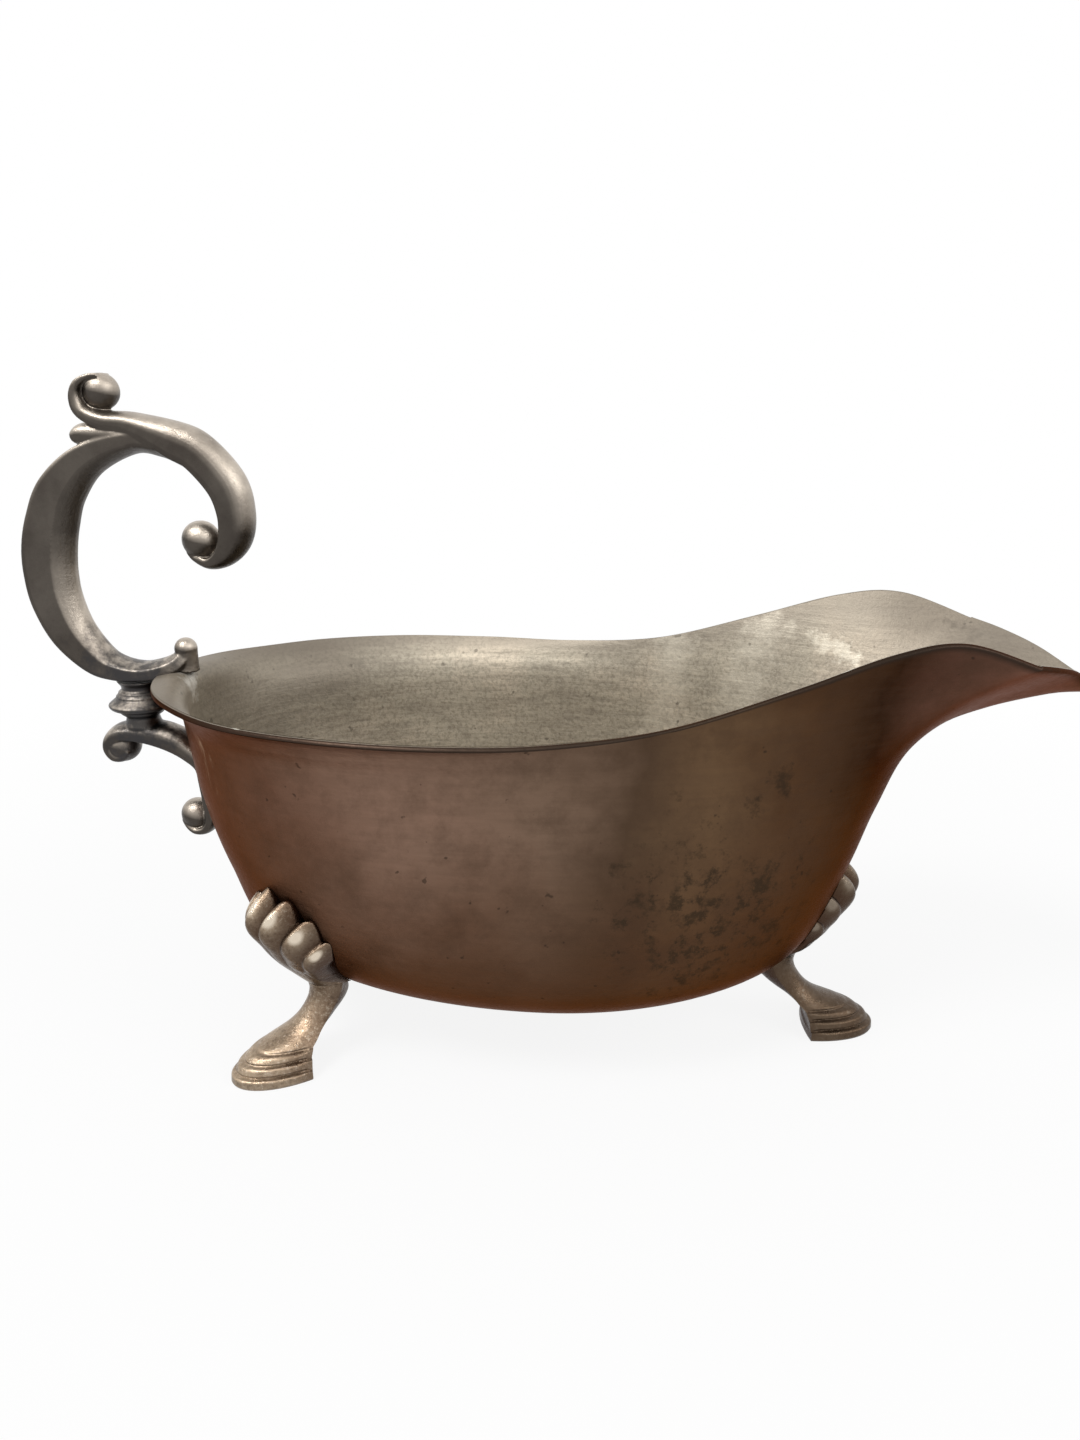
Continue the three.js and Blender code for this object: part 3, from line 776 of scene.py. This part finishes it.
class Finish:
    """A metal finish built from nodes over the object's own coordinates."""

    def __init__(self, name, metallic=1):
        self.material, self.tree, self.shader = new_material(name)
        self.shader.inputs["Metallic"].default_value = metallic
        self.where = self.add("TexCoord", "Object")

    def add(self, kind, out, inputs=(), **settings):
        return add_node(self.tree, kind, out, inputs, **settings)

    def axis(self, name, vector):
        return self.add("SeparateXYZ", name, {"Vector": vector})

    def attribute(self, name):
        return self.add("Attribute", "Fac", attribute_name=name)

    def noise(self, scale, detail, rough, stretch=EVEN):
        where = self.add("Mapping", "Vector", {"Vector": self.where, "Scale": stretch})
        fineness = {"Vector": where, "Scale": scale, "Detail": detail, "Roughness": rough}
        return self.add("TexNoise", "Fac", fineness)

    def band(self, value, low, high, to_low=0.0, to_high=1.0):
        span = {"Value": value, "From Min": low, "From Max": high}
        span.update({"To Min": to_low, "To Max": to_high})
        return self.add("MapRange", "Result", span)

    def sum(self, *values):
        total = values[0]
        for value in values[1:]:
            total = self.add("Math", "Value", {0: total, 1: value}, operation="ADD")
        return total

    def times(self, a, b):
        return self.add("Math", "Value", {0: a, 1: b}, operation="MULTIPLY")

    def mix(self, share, under, colour):
        """A share of one colour laid over what is under it."""
        inputs = {0: share, 6: under, 7: (*colour, 1)}
        return self.add("Mix", 2, inputs, data_type="RGBA")

    def ramp(self, value, stops):
        node = self.tree.nodes.new("ShaderNodeValToRGB")
        self.tree.links.new(value, node.inputs["Fac"])
        elements = node.color_ramp.elements
        while len(elements) < len(stops):
            elements.new(0.5)
        for element, (place, colour) in zip(elements, stops):
            element.position = place
            element.color = (*colour, 1)
        return node.outputs["Color"]

    def use(self, socket, value):
        self.tree.links.new(value, self.shader.inputs[socket])

    def near(self, places, radius, ragged=0.5):
        """1 at each of some places in millimetres, down to 0 at a ragged edge."""
        reach = radius * MM
        noise = self.noise(*RAGGED_NOISE)
        shift = self.band(noise, *NOISE_SPREAD, -ragged * reach, ragged * reach)
        shares = []
        for place in places:
            ends = {0: self.where, 1: in_frame(place).tolist()}
            away = self.add("VectorMath", "Value", ends, operation="DISTANCE")
            shares.append(self.band(self.sum(away, shift), reach, SPOT_CORE * reach))
        most = shares[0]
        for share in shares[1:]:
            most = self.add("Math", "Value", {0: most, 1: share}, operation="MAXIMUM")
        return most

    def bump(self, height, distance):
        inputs = {"Height": height, "Distance": distance}
        self.use("Normal", self.add("Bump", "Normal", inputs))


def stroke(start, end, steps):
    """Places in a row from start to end."""
    return [lerp(np.array(start), np.array(end), k / steps) for k in range(steps + 1)]


# The patina from the handle's end to the lip, with lighter and darker bands of painted
# reflection and shade: share of the way, colour
PATINA_AND_REFLECTIONS = [
    (0.0, (0.1, 0.045, 0.024)),
    (0.12, (0.13, 0.066, 0.042)),
    (0.29, (0.22, 0.135, 0.096)),
    (0.42, (0.17, 0.11, 0.076)),
    (0.5, (0.08, 0.049, 0.03)),
    (0.57, (0.125, 0.074, 0.04)),
    (0.65, (0.078, 0.04, 0.02)),
    (0.76, (0.028, 0.015, 0.009)),
    (0.89, (0.15, 0.074, 0.052)),
]
PATINA_ENDS = (-0.072, 0.1)
CLOUDS = (26, 5, 0.6)
CLOUD_DRIFT = (-0.009, 0.009)  # how far clouds shift the patina, in metres
BELLY = (0.052, 0.026, 0, 0.85)  # painted shade, darker and browner low on the belly: metres above the table, from the shoulder down
BELLY_SHADE_BROWN = (0.08, 0.037, 0.018)
MOTTLE = (110, 8, 0.72)
MOTTLE_BAND = (0.36, 0.56, 0.38, 0)
MOTTLE_BROWN = (0.055, 0.032, 0.02)
STREAKS = (70, 4, 0.65, (1, 1, 12))
STREAK_BAND = (0.35, 0.62, 0.16, 0)
STREAK_BROWN = (0.06, 0.036, 0.024)
# Dark blotches on the near side, by the front shell
BLOTCHES = [(27, -31, 41), (31, -28, 30), (38, -26, 36)]
BLOTCH_REACH = (13, 0.8)
BLOTCH_NOISE = (330, 6, 0.75)
BLOTCH_BAND = (0.47, 0.57, 0, 0.8)
BLOTCH_BROWN = (0.035, 0.024, 0.015)
SPOTS = [(43.1, -26.8, 62.1), (40, -29, 58.5)]  # two dark spots under the lip's edge
SPOT_REACH = (2.4, 0.9)
SPOT_SHARE = 0.6
SPOT_BROWN = (0.022, 0.017, 0.012)
GLINT = stroke((-58.5, -20.6, 63), (-58.5, -17.8, 47), 6)  # painted highlight: streaks of reflection by the handle
GLINT_REACH = (3.2, 0.5)
GLINT_STREAKS = (420, 4, 0.6, (1, 1, 0.07))
GLINT_STREAK_BAND = (0.5, 0.62, 0, 0.6)
GLINT_GOLD = (0.46, 0.35, 0.24)
DARK_DOTS = (520, 2, 0.5)
DARK_DOT_BAND = (0.71, 0.76, 0, 0.6)
DOT_BROWN = (0.025, 0.018, 0.013)
EDGE_BAND = (0.972, 0.99, 0, 0.85)  # painted shade along and under the rim's edge: shares of the way up the wall
RIM_SHADE_BROWN = (0.03, 0.022, 0.017)
BOWL_GRAIN = (900, 4, 0.65)
BOWL_ROUGHNESS = (0.29, 0.4)
STREAK_ROUGHNESS = 0.14
PATINA_SHEEN = (0.6, 0.44, 0.4, 1)
STREAK_RELIEF = 0.8  # height of the streaks over that of the grain
MOTTLE_RELIEF = 1.2
BOWL_RELIEF = 0.00006  # height of the grain in metres


def bowl_outside():
    """Pewter browned by age, reddening at both ends, with lighter and darker bands of
    painted reflection and shade along it, darkest in the throat of the lip, painted shade
    low on the belly and along the rim, and a painted highlight by the handle.
    """
    f = Finish("bowl_patina")
    drift = f.band(f.noise(*CLOUDS), *NOISE_SPREAD, *CLOUD_DRIFT)
    along, up = f.axis("X", f.where), f.axis("Z", f.where)
    # Patina along the length, with bands of painted reflection and shade
    outside_colour = f.ramp(f.band(f.sum(along, drift), *PATINA_ENDS), PATINA_AND_REFLECTIONS)
    # Painted shade: darker and browner low on the belly
    outside_colour = f.mix(f.band(f.sum(up, drift), *BELLY), outside_colour, BELLY_SHADE_BROWN)
    mottle, streaks = f.noise(*MOTTLE), f.noise(*STREAKS)
    outside_colour = f.mix(f.band(mottle, *MOTTLE_BAND), outside_colour, MOTTLE_BROWN)
    outside_colour = f.mix(f.band(streaks, *STREAK_BAND), outside_colour, STREAK_BROWN)
    stain = f.times(
        f.band(f.noise(*BLOTCH_NOISE), *BLOTCH_BAND), f.near(BLOTCHES, *BLOTCH_REACH)
    )
    outside_colour = f.mix(stain, outside_colour, BLOTCH_BROWN)
    spots = f.times(f.near(SPOTS, *SPOT_REACH), SPOT_SHARE)
    outside_colour = f.mix(spots, outside_colour, SPOT_BROWN)
    # Painted highlight: streaks of reflected light by the handle
    glint_streaks = f.band(f.noise(*GLINT_STREAKS), *GLINT_STREAK_BAND)
    outside_colour = f.mix(f.times(f.near(GLINT, *GLINT_REACH), glint_streaks), outside_colour, GLINT_GOLD)
    dots = f.band(f.noise(*DARK_DOTS), *DARK_DOT_BAND)
    outside_colour = f.mix(dots, outside_colour, DOT_BROWN)
    # Painted shade: a dark line along and under the rim's edge
    edge = f.band(f.attribute("share"), *EDGE_BAND)
    f.use("Base Color", f.mix(edge, outside_colour, RIM_SHADE_BROWN))
    grain = f.noise(*BOWL_GRAIN)
    roughness = f.band(grain, *NOISE_SPREAD, *BOWL_ROUGHNESS)
    f.use("Roughness", f.sum(roughness, f.times(streaks, STREAK_ROUGHNESS)))
    f.shader.inputs["Specular Tint"].default_value = PATINA_SHEEN
    relief = f.sum(grain, f.times(streaks, STREAK_RELIEF), f.times(mottle, MOTTLE_RELIEF))
    f.bump(relief, BOWL_RELIEF)
    return f.material


# The satin inside: value of its clouds, colour
SATIN = [
    (0.36, (0.43, 0.375, 0.295)),
    (0.48, (0.55, 0.49, 0.385)),
    (0.6, (0.66, 0.57, 0.445)),
]
SATIN_METALLIC = 0.45
SATIN_CLOUDS = (30, 5, 0.62)
BRUSHED = (75, 5, 0.7, (1, 1, 11))
BRUSHED_BAND = (0.34, 0.6, 0.5, 0)
BRUSHED_GREY = (0.24, 0.205, 0.16)
SATIN_GRAIN = (1300, 4, 0.7)
GRAIN_BAND = (0.38, 0.56, 0.45, 0)
GRAIN_GREY = (0.17, 0.145, 0.11)
HANDLE_END = (-0.03, -0.06, 0, 0.6)  # painted shade towards the handle's end, in metres along the boat
HANDLE_END_SHADE = (0.14, 0.115, 0.085)
LIP_END = (0.045, 0.07, 0, 0.5)  # painted shade towards the lip, in metres too
LIP_END_SHADE = (0.22, 0.18, 0.14)
BELOW_RIM = (0.84, 0.93, 0, 0.6)  # painted shade below the rim's turn, as shares of the way up the wall
BELOW_RIM_SHADE = (0.22, 0.185, 0.145)
# Painted reflections: soft glows on the far wall, and a bright line inside the lip
GLOWS = stroke((27, 33, 70), (24, 30, 50), 4) + stroke((46, 29, 75), (41, 27, 60), 3)
GLOW_RADIUS = 6
GLOW_SHARE = 0.35
LIP_HIGHLIGHT = stroke((56, 24.3, 75.2), (66, 17.4, 69.4), 12)
LIP_HIGHLIGHT_REACH = (2.6, 0.9)
LIP_HIGHLIGHT_SHARE = 0.55
HIGHLIGHT_WHITE = (0.85, 0.78, 0.64)
# Dull marks: a small hook by the handle and a smear on the lip
HOOK = stroke((-49.6, 26, 60.6), (-47.8, 27.4, 57.9), 3)
HOOK += stroke((-47.2, 27.8, 57.5), (-45.2, 28.8, 58.6), 3)
HOOK_RADIUS = 0.8
SMEAR = stroke((79.9, 19.9, 79.5), (87, 14.6, 77.2), 5)
SMEAR_RADIUS = 1.4
MARK_SHARE = 0.45
DULL = (80, 3, 0.6)
DULL_BAND = (0.66, 0.72, 0, 0.35)
GREY_DOTS = (420, 2, 0.5)
GREY_DOT_BAND = (0.7, 0.75, 0, 0.6)
DULL_GREY = (0.1, 0.083, 0.063)
# Solder round the foot of the lug
LUG_FOOT = (RIM_END[0] + C_STRAP[0][0] + 1.5, -2, RIM_END[1] - 1)
SOLDER = [LUG_FOOT, (LUG_FOOT[0] + 3, -1, LUG_FOOT[2] - 1)]
SOLDER_REACH = (3.4, 0.7)
SOLDER_SHARE = 0.6
SOLDER_WHITE = (0.75, 0.72, 0.65)
NICKS = [(24.6, -33, 73), (35.2, -31.2, 75.9), (52, -28, 81.4), (-47, -33.8, 70.6)]
NICK_REACH = (1, 0.2)
NICK_WHITE = (0.8, 0.76, 0.66)
SATIN_ROUGHNESS = (0.36, 0.5)
BRUSHED_ROUGHNESS = 0.1
HIGHLIGHT_ROUGHNESS = -0.12
BRUSHED_RELIEF = 1.2  # height of the brushing over that of the grain
NICK_RELIEF = 6
SATIN_RELIEF = 0.00007  # height of the grain in metres


def bowl_inside():
    """Pale satin pewter, brushed round the bowl, with painted shade at both ends and
    below the rim, painted reflections on the far wall and inside the lip, a few nicks and
    a few dull marks.
    """
    f = Finish("bowl_satin", SATIN_METALLIC)
    satin = f.ramp(f.noise(*SATIN_CLOUDS), SATIN)
    brushed, grain = f.noise(*BRUSHED), f.noise(*SATIN_GRAIN)
    satin = f.mix(f.band(brushed, *BRUSHED_BAND), satin, BRUSHED_GREY)
    satin = f.mix(f.band(grain, *GRAIN_BAND), satin, GRAIN_GREY)
    along = f.axis("X", f.where)
    # Painted shade at both ends and below the rim
    satin = f.mix(f.band(along, *HANDLE_END), satin, HANDLE_END_SHADE)
    satin = f.mix(f.band(along, *LIP_END), satin, LIP_END_SHADE)
    satin = f.mix(f.band(f.attribute("share"), *BELOW_RIM), satin, BELOW_RIM_SHADE)
    # Painted reflections: glows on the far wall and a highlight inside the lip
    glows = f.times(f.near(GLOWS, GLOW_RADIUS), GLOW_SHARE)
    bright = f.sum(glows, f.times(f.near(LIP_HIGHLIGHT, *LIP_HIGHLIGHT_REACH), LIP_HIGHLIGHT_SHARE))
    satin = f.mix(bright, satin, HIGHLIGHT_WHITE)
    hook = f.times(f.near(HOOK, HOOK_RADIUS), MARK_SHARE)
    smear = f.times(f.near(SMEAR, SMEAR_RADIUS), MARK_SHARE)
    dull = f.sum(f.band(f.noise(*DULL), *DULL_BAND), f.sum(hook, smear))
    dots = f.band(f.noise(*GREY_DOTS), *GREY_DOT_BAND)
    satin = f.mix(f.sum(dull, dots), satin, DULL_GREY)
    solder = f.times(f.near(SOLDER, *SOLDER_REACH), SOLDER_SHARE)
    satin = f.mix(solder, satin, SOLDER_WHITE)
    nick = f.near(NICKS, *NICK_REACH)
    f.use("Base Color", f.mix(nick, satin, NICK_WHITE))
    roughness = f.band(grain, *NOISE_SPREAD, *SATIN_ROUGHNESS)
    roughness = f.sum(roughness, f.times(brushed, BRUSHED_ROUGHNESS))
    f.use("Roughness", f.sum(roughness, f.times(bright, HIGHLIGHT_ROUGHNESS)))
    relief = f.sum(grain, f.times(brushed, BRUSHED_RELIEF), f.times(nick, NICK_RELIEF))
    f.bump(relief, SATIN_RELIEF)
    return f.material


CAST_CLOUDS = (75, 6, 0.65)
CAST_TONES = (0.36, 0.62)  # values of the clouds at the dark and the light tone
WORN_EDGES = (0.55, 0.66, 0, 0.7)
CORNERS = (0.49, 0.42, 0, 0.55)
CORNER_TARNISH_AND_SHADE = (0.03, 0.024, 0.02)
PITS = (1500, 5, 0.75)
BRIGHT_PITS = (0.54, 0.64)
DARK_PITS = (0.46, 0.38)
PIT_BROWN = (0.05, 0.038, 0.028)
LIPWARD_SHARE = 0.25  # how much facing the lip counts beside facing up
UNDERSIDES = (0.5, -0.02)  # painted shade by how far a face looks up, from none to full
UNDERSIDE_SHADE_BLACK = (0.024, 0.02, 0.018)
TOWARDS_LIP = (0.0, 0.045)  # along the boat, in metres
FRONT_SHADE_BROWN = (0.06, 0.038, 0.024)
FACING_MIDDLE = (0.01, -0.025)  # painted shade on faces turned to the bowl's middle: how far a face looks out, in metres from the middle
INWARD_SHADE_BROWN = (0.03, 0.013, 0.009)
DARKENED_RADIUS = 12
DARKENED_SHARE = 0.85
DARKENED_GREY = (0.045, 0.044, 0.046)
CREST_BAND = (0, 0.8)
CREST_SHARES = (0.85, 0.15)  # how bright the painted highlight on the crests is at the rear and in front
FLUTES = (0, -1, 0, 0.85)
FLUTE_TARNISH_AND_SHADE = (0.045, 0.021, 0.012)
CAST_GRAIN = (420, 4, 0.6)
SMOOTHER, ROUGHER = 0.06, 0.08  # how far the grain takes the roughness down and up
CREST_ROUGHNESS = (0, 1, 0, -0.14)
PIT_RELIEF = 2  # height of the pits over that of the grain
CAST_RELIEF = 0.00005  # height of the grain in metres


def casting(name, light, dark, wear_and_highlight, shade, pits, rough, inward=0.0, ahead=0.0, darkened_places=()):
    """Cast pewter rubbed bright at its edges, with painted shade on its sides and
    undersides and in its tarnished corners, and painted highlights on the shells' crests.

    inward and ahead: painted shade on what faces the bowl's middle, and towards the lip.
    Round the places given last, the casting is darker.
    """
    f = Finish(name)
    tone = f.ramp(f.noise(*CAST_CLOUDS), list(zip(CAST_TONES, (dark, light))))
    bend = f.add("NewGeometry", "Pointiness")
    tone = f.mix(f.band(bend, *WORN_EDGES), tone, wear_and_highlight)
    speck = f.noise(*PITS)
    tone = f.mix(f.band(speck, *BRIGHT_PITS, 0, pits), tone, wear_and_highlight)
    tone = f.mix(f.band(speck, *DARK_PITS, 0, pits), tone, PIT_BROWN)
    normal = f.add("NewGeometry", "Normal")
    # Painted shade on the sides and undersides, less where a face looks up or towards the
    # lip
    lipwards = f.times(f.axis("X", normal), LIPWARD_SHARE)
    facing_light = f.sum(f.axis("Z", normal), lipwards)
    tone = f.mix(f.band(facing_light, *UNDERSIDES, 0, shade), tone, UNDERSIDE_SHADE_BLACK)
    # Painted shade, darker towards the lip
    along = f.axis("X", f.where)
    tone = f.mix(f.band(along, *TOWARDS_LIP, 0, ahead), tone, FRONT_SHADE_BROWN)
    # Painted shade on the faces turned to the bowl's middle
    facing = {0: normal, 1: f.where}
    outward = f.add("VectorMath", "Value", facing, operation="DOT_PRODUCT")
    tone = f.mix(f.band(outward, *FACING_MIDDLE, 0, inward), tone, INWARD_SHADE_BROWN)
    # Darker round the knop, under the rim's end
    if darkened_places:
        tone = f.mix(f.times(f.near(darkened_places, DARKENED_RADIUS), DARKENED_SHARE), tone, DARKENED_GREY)
    # Painted highlight on the shells' crests, dimmer in front, and tarnish with painted
    # shade in their grooves
    crest = f.attribute("crest")
    bright = f.band(along, *TOWARDS_LIP, *CREST_SHARES)
    tone = f.mix(f.times(f.band(crest, *CREST_BAND), bright), tone, wear_and_highlight)
    tone = f.mix(f.band(crest, *FLUTES), tone, FLUTE_TARNISH_AND_SHADE)
    # Darker corners: tarnish in the hollows and painted shade
    f.use("Base Color", f.mix(f.band(bend, *CORNERS), tone, CORNER_TARNISH_AND_SHADE))
    grain = f.noise(*CAST_GRAIN)
    dull = f.band(grain, *NOISE_SPREAD, rough - SMOOTHER, rough + ROUGHER)
    f.use("Roughness", f.sum(dull, f.band(crest, *CREST_ROUGHNESS)))
    f.bump(f.sum(grain, f.times(speck, PIT_RELIEF)), CAST_RELIEF)
    return f.material


KNOP_MIDDLE = RIM_END[0] + KNOP_ALONG
BOWL_PEWTER = [bowl_outside(), bowl_inside()]
CAST_PEWTER = [
    casting(
        "handle_cast",
        light=(0.58, 0.51, 0.43),
        dark=(0.32, 0.275, 0.23),
        wear_and_highlight=(0.62, 0.54, 0.45),
        shade=0.9,
        pits=0.05,
        rough=0.33,
        darkened_places=stroke((KNOP_MIDDLE, 0, 70), (KNOP_MIDDLE, 0, 62), 2),
    )
]
LEG_PEWTER = [
    casting(
        "leg_cast",
        light=(0.46, 0.355, 0.25),
        dark=(0.24, 0.165, 0.11),
        wear_and_highlight=(0.78, 0.68, 0.55),
        shade=0.4,
        pits=0.4,
        rough=0.3,
        inward=0.8,
        ahead=0.85,
    )
]


def dress(obj, materials, slot, *nodes):
    for material in materials:
        obj.data.materials.append(material)
    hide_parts(*nodes)
    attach(obj, "root")


CUTTER = make_cutter()
dress(make_bowl(), BOWL_PEWTER, "bowl_pewter", "bowl")
dress(cast_together(make_handle()), CAST_PEWTER, "handle_pewter", "handle_scroll")
dress(
    cut_away(cast_together(make_bracket()), CUTTER),
    CAST_PEWTER,
    "handle_pewter",
    "handle_bracket",
)
# The front toe points to the lip, the rear ones back and outwards
BACKWARDS = 180
PLACES = {
    "front": leg_place(TIP_STATION, 0, FRONT_STAND),
    "rear_near": leg_place(-REAR_STATION, BACKWARDS + REAR_TURN, REAR_STAND),
    "rear_far": leg_place(REAR_STATION, BACKWARDS - REAR_TURN, REAR_STAND),
}
LEG_POINTS, LEG_FACES = leg_solid()
SHELL_POINTS, SHELL_FACES, SHELL_HIGHLIGHT_AND_SHADE = shell_solid()
for where, place in PLACES.items():
    leg = make_object(f"cabriole_{where}", placed(LEG_POINTS, place), LEG_FACES)
    dress(cut_away(leg, CUTTER), LEG_PEWTER, "leg_pewter", f"leg_{where}")
    points = placed(SHELL_POINTS, place)
    knee = make_object(f"scallop_{where}", points, SHELL_FACES, SHELL_SHARP)
    knee = cut_away(knee, CUTTER)
    mark_crests(knee, points, SHELL_HIGHLIGHT_AND_SHADE)
    dress(knee, LEG_PEWTER, "leg_pewter", f"knee_shell_{where}")
bpy.data.objects.remove(CUTTER)

# The stage, in metres: white paper that glows where it is far from the boat
FLOOR_HALF = 6
FLOOR_DROP = 0.02  # millimetres, clear of the soles
FLOOR_SPECK = 300
FLOOR_TONES = (0.78, 0.82)
FLOOR_ROUGHNESS = 0.9
GLOW_FROM, GLOW_TO = 0.12, 0.32  # distance over which the glow grows to full
GLOW_LEAST = 0.88
ROOM_LIGHT = 0.6
WHITE = (1, 1, 1, 1)
LIGHT_TARGET = (0, 0, 0.05)
# Each lamp: name, place, size, power
LAMPS = [("key", (-0.5, -0.6, 1.1), 0.45, 9), ("fill", (0.9, -0.4, 0.7), 0.6, 3.5)]
# The camera of the photo, in millimetres, degrees and pixels
CAMERA_PLACE = (17.9, -199.1, 125.2)
CAMERA_PITCH = 17.2
CAMERA_YAW = 5
FOCAL_PIXELS = 1088
PHOTO_WIDTH = 1080
SENSOR = 36
CLIP_START = 0.01


def seen(tree):
    """1 for what shows in the picture or in the metal, and 0 for what lights the boat."""
    path = tree.nodes.new("ShaderNodeLightPath").outputs
    rays = {0: path["Is Camera Ray"], 1: path["Is Glossy Ray"]}
    return add_node(tree, "Math", "Value", rays, operation="MAXIMUM")


def mix_shaders(tree, share, first, second, out):
    mixed = add_node(tree, "MixShader", "Shader", {"Fac": share, 1: first, 2: second})
    tree.links.new(mixed, out.inputs["Surface"])


def stage_floor():
    mesh = bpy.data.meshes.new("floor")
    corners = [(x, y, 0) for x, y in ((-1, -1), (1, -1), (1, 1), (-1, 1))]
    mesh.from_pydata((np.array(corners) * FLOOR_HALF).tolist(), [], [(0, 1, 2, 3)])
    floor = bpy.data.objects.new("floor", mesh)
    bpy.context.scene.collection.objects.link(floor)
    material, tree, shader = new_material("floor_paper")
    speck = add_node(tree, "TexNoise", "Fac", {"Scale": FLOOR_SPECK})
    tones = {"Value": speck, "To Min": FLOOR_TONES[0], "To Max": FLOOR_TONES[1]}
    tint = add_node(tree, "MapRange", "Result", tones)
    tree.links.new(tint, shader.inputs["Base Color"])
    shader.inputs["Roughness"].default_value = FLOOR_ROUGHNESS
    shader.inputs["Specular IOR Level"].default_value = 0
    where = add_node(tree, "TexCoord", "Object")
    away = add_node(tree, "VectorMath", "Value", {0: where}, operation="LENGTH")
    growth = {"Value": away, "From Min": GLOW_FROM, "From Max": GLOW_TO}
    growth["To Min"] = GLOW_LEAST
    far = add_node(tree, "MapRange", "Result", growth, interpolation_type="SMOOTHSTEP")
    share = add_node(tree, "Math", "Value", {0: seen(tree), 1: far}, operation="MULTIPLY")
    glow = add_node(tree, "Emission", "Emission")
    paper = shader.outputs["BSDF"]
    mix_shaders(tree, share, paper, glow, tree.nodes["Material Output"])
    floor.data.materials.append(material)
    floor.location.z = -FLOOR_DROP * MM


def area_light(name, place, size, power):
    data = bpy.data.lights.new(name, "AREA")
    data.size = size
    data.energy = power
    light = bpy.data.objects.new(name, data)
    light.location = place
    aim = Vector(LIGHT_TARGET) - Vector(place)
    light.rotation_euler = aim.to_track_quat("-Z", "Y").to_euler()
    bpy.context.scene.collection.objects.link(light)


def world_light():
    world = bpy.data.worlds.new("studio")
    bpy.context.scene.world = world
    world.use_nodes = True
    tree = world.node_tree
    tree.nodes.clear()
    room, shown = (
        add_node(tree, "Background", "Background", {"Color": WHITE, "Strength": strength})
        for strength in (ROOM_LIGHT, 1)
    )
    out = tree.nodes.new("ShaderNodeOutputWorld")
    mix_shaders(tree, seen(tree), room, shown, out)


def photo_camera():
    data = bpy.data.cameras.new("camera")
    data.sensor_fit = "HORIZONTAL"
    data.sensor_width = SENSOR
    data.lens = SENSOR * FOCAL_PIXELS / PHOTO_WIDTH
    data.clip_start = CLIP_START
    camera = bpy.data.objects.new("camera", data)
    camera.location = in_frame(CAMERA_PLACE).tolist()
    camera.rotation_euler = (math.radians(90 - CAMERA_PITCH), 0, math.radians(CAMERA_YAW))
    bpy.context.scene.collection.objects.link(camera)
    bpy.context.scene.camera = camera


stage_floor()
for lamp in LAMPS:
    area_light(*lamp)
world_light()
photo_camera()
bpy.context.scene.view_settings.view_transform = "Standard"
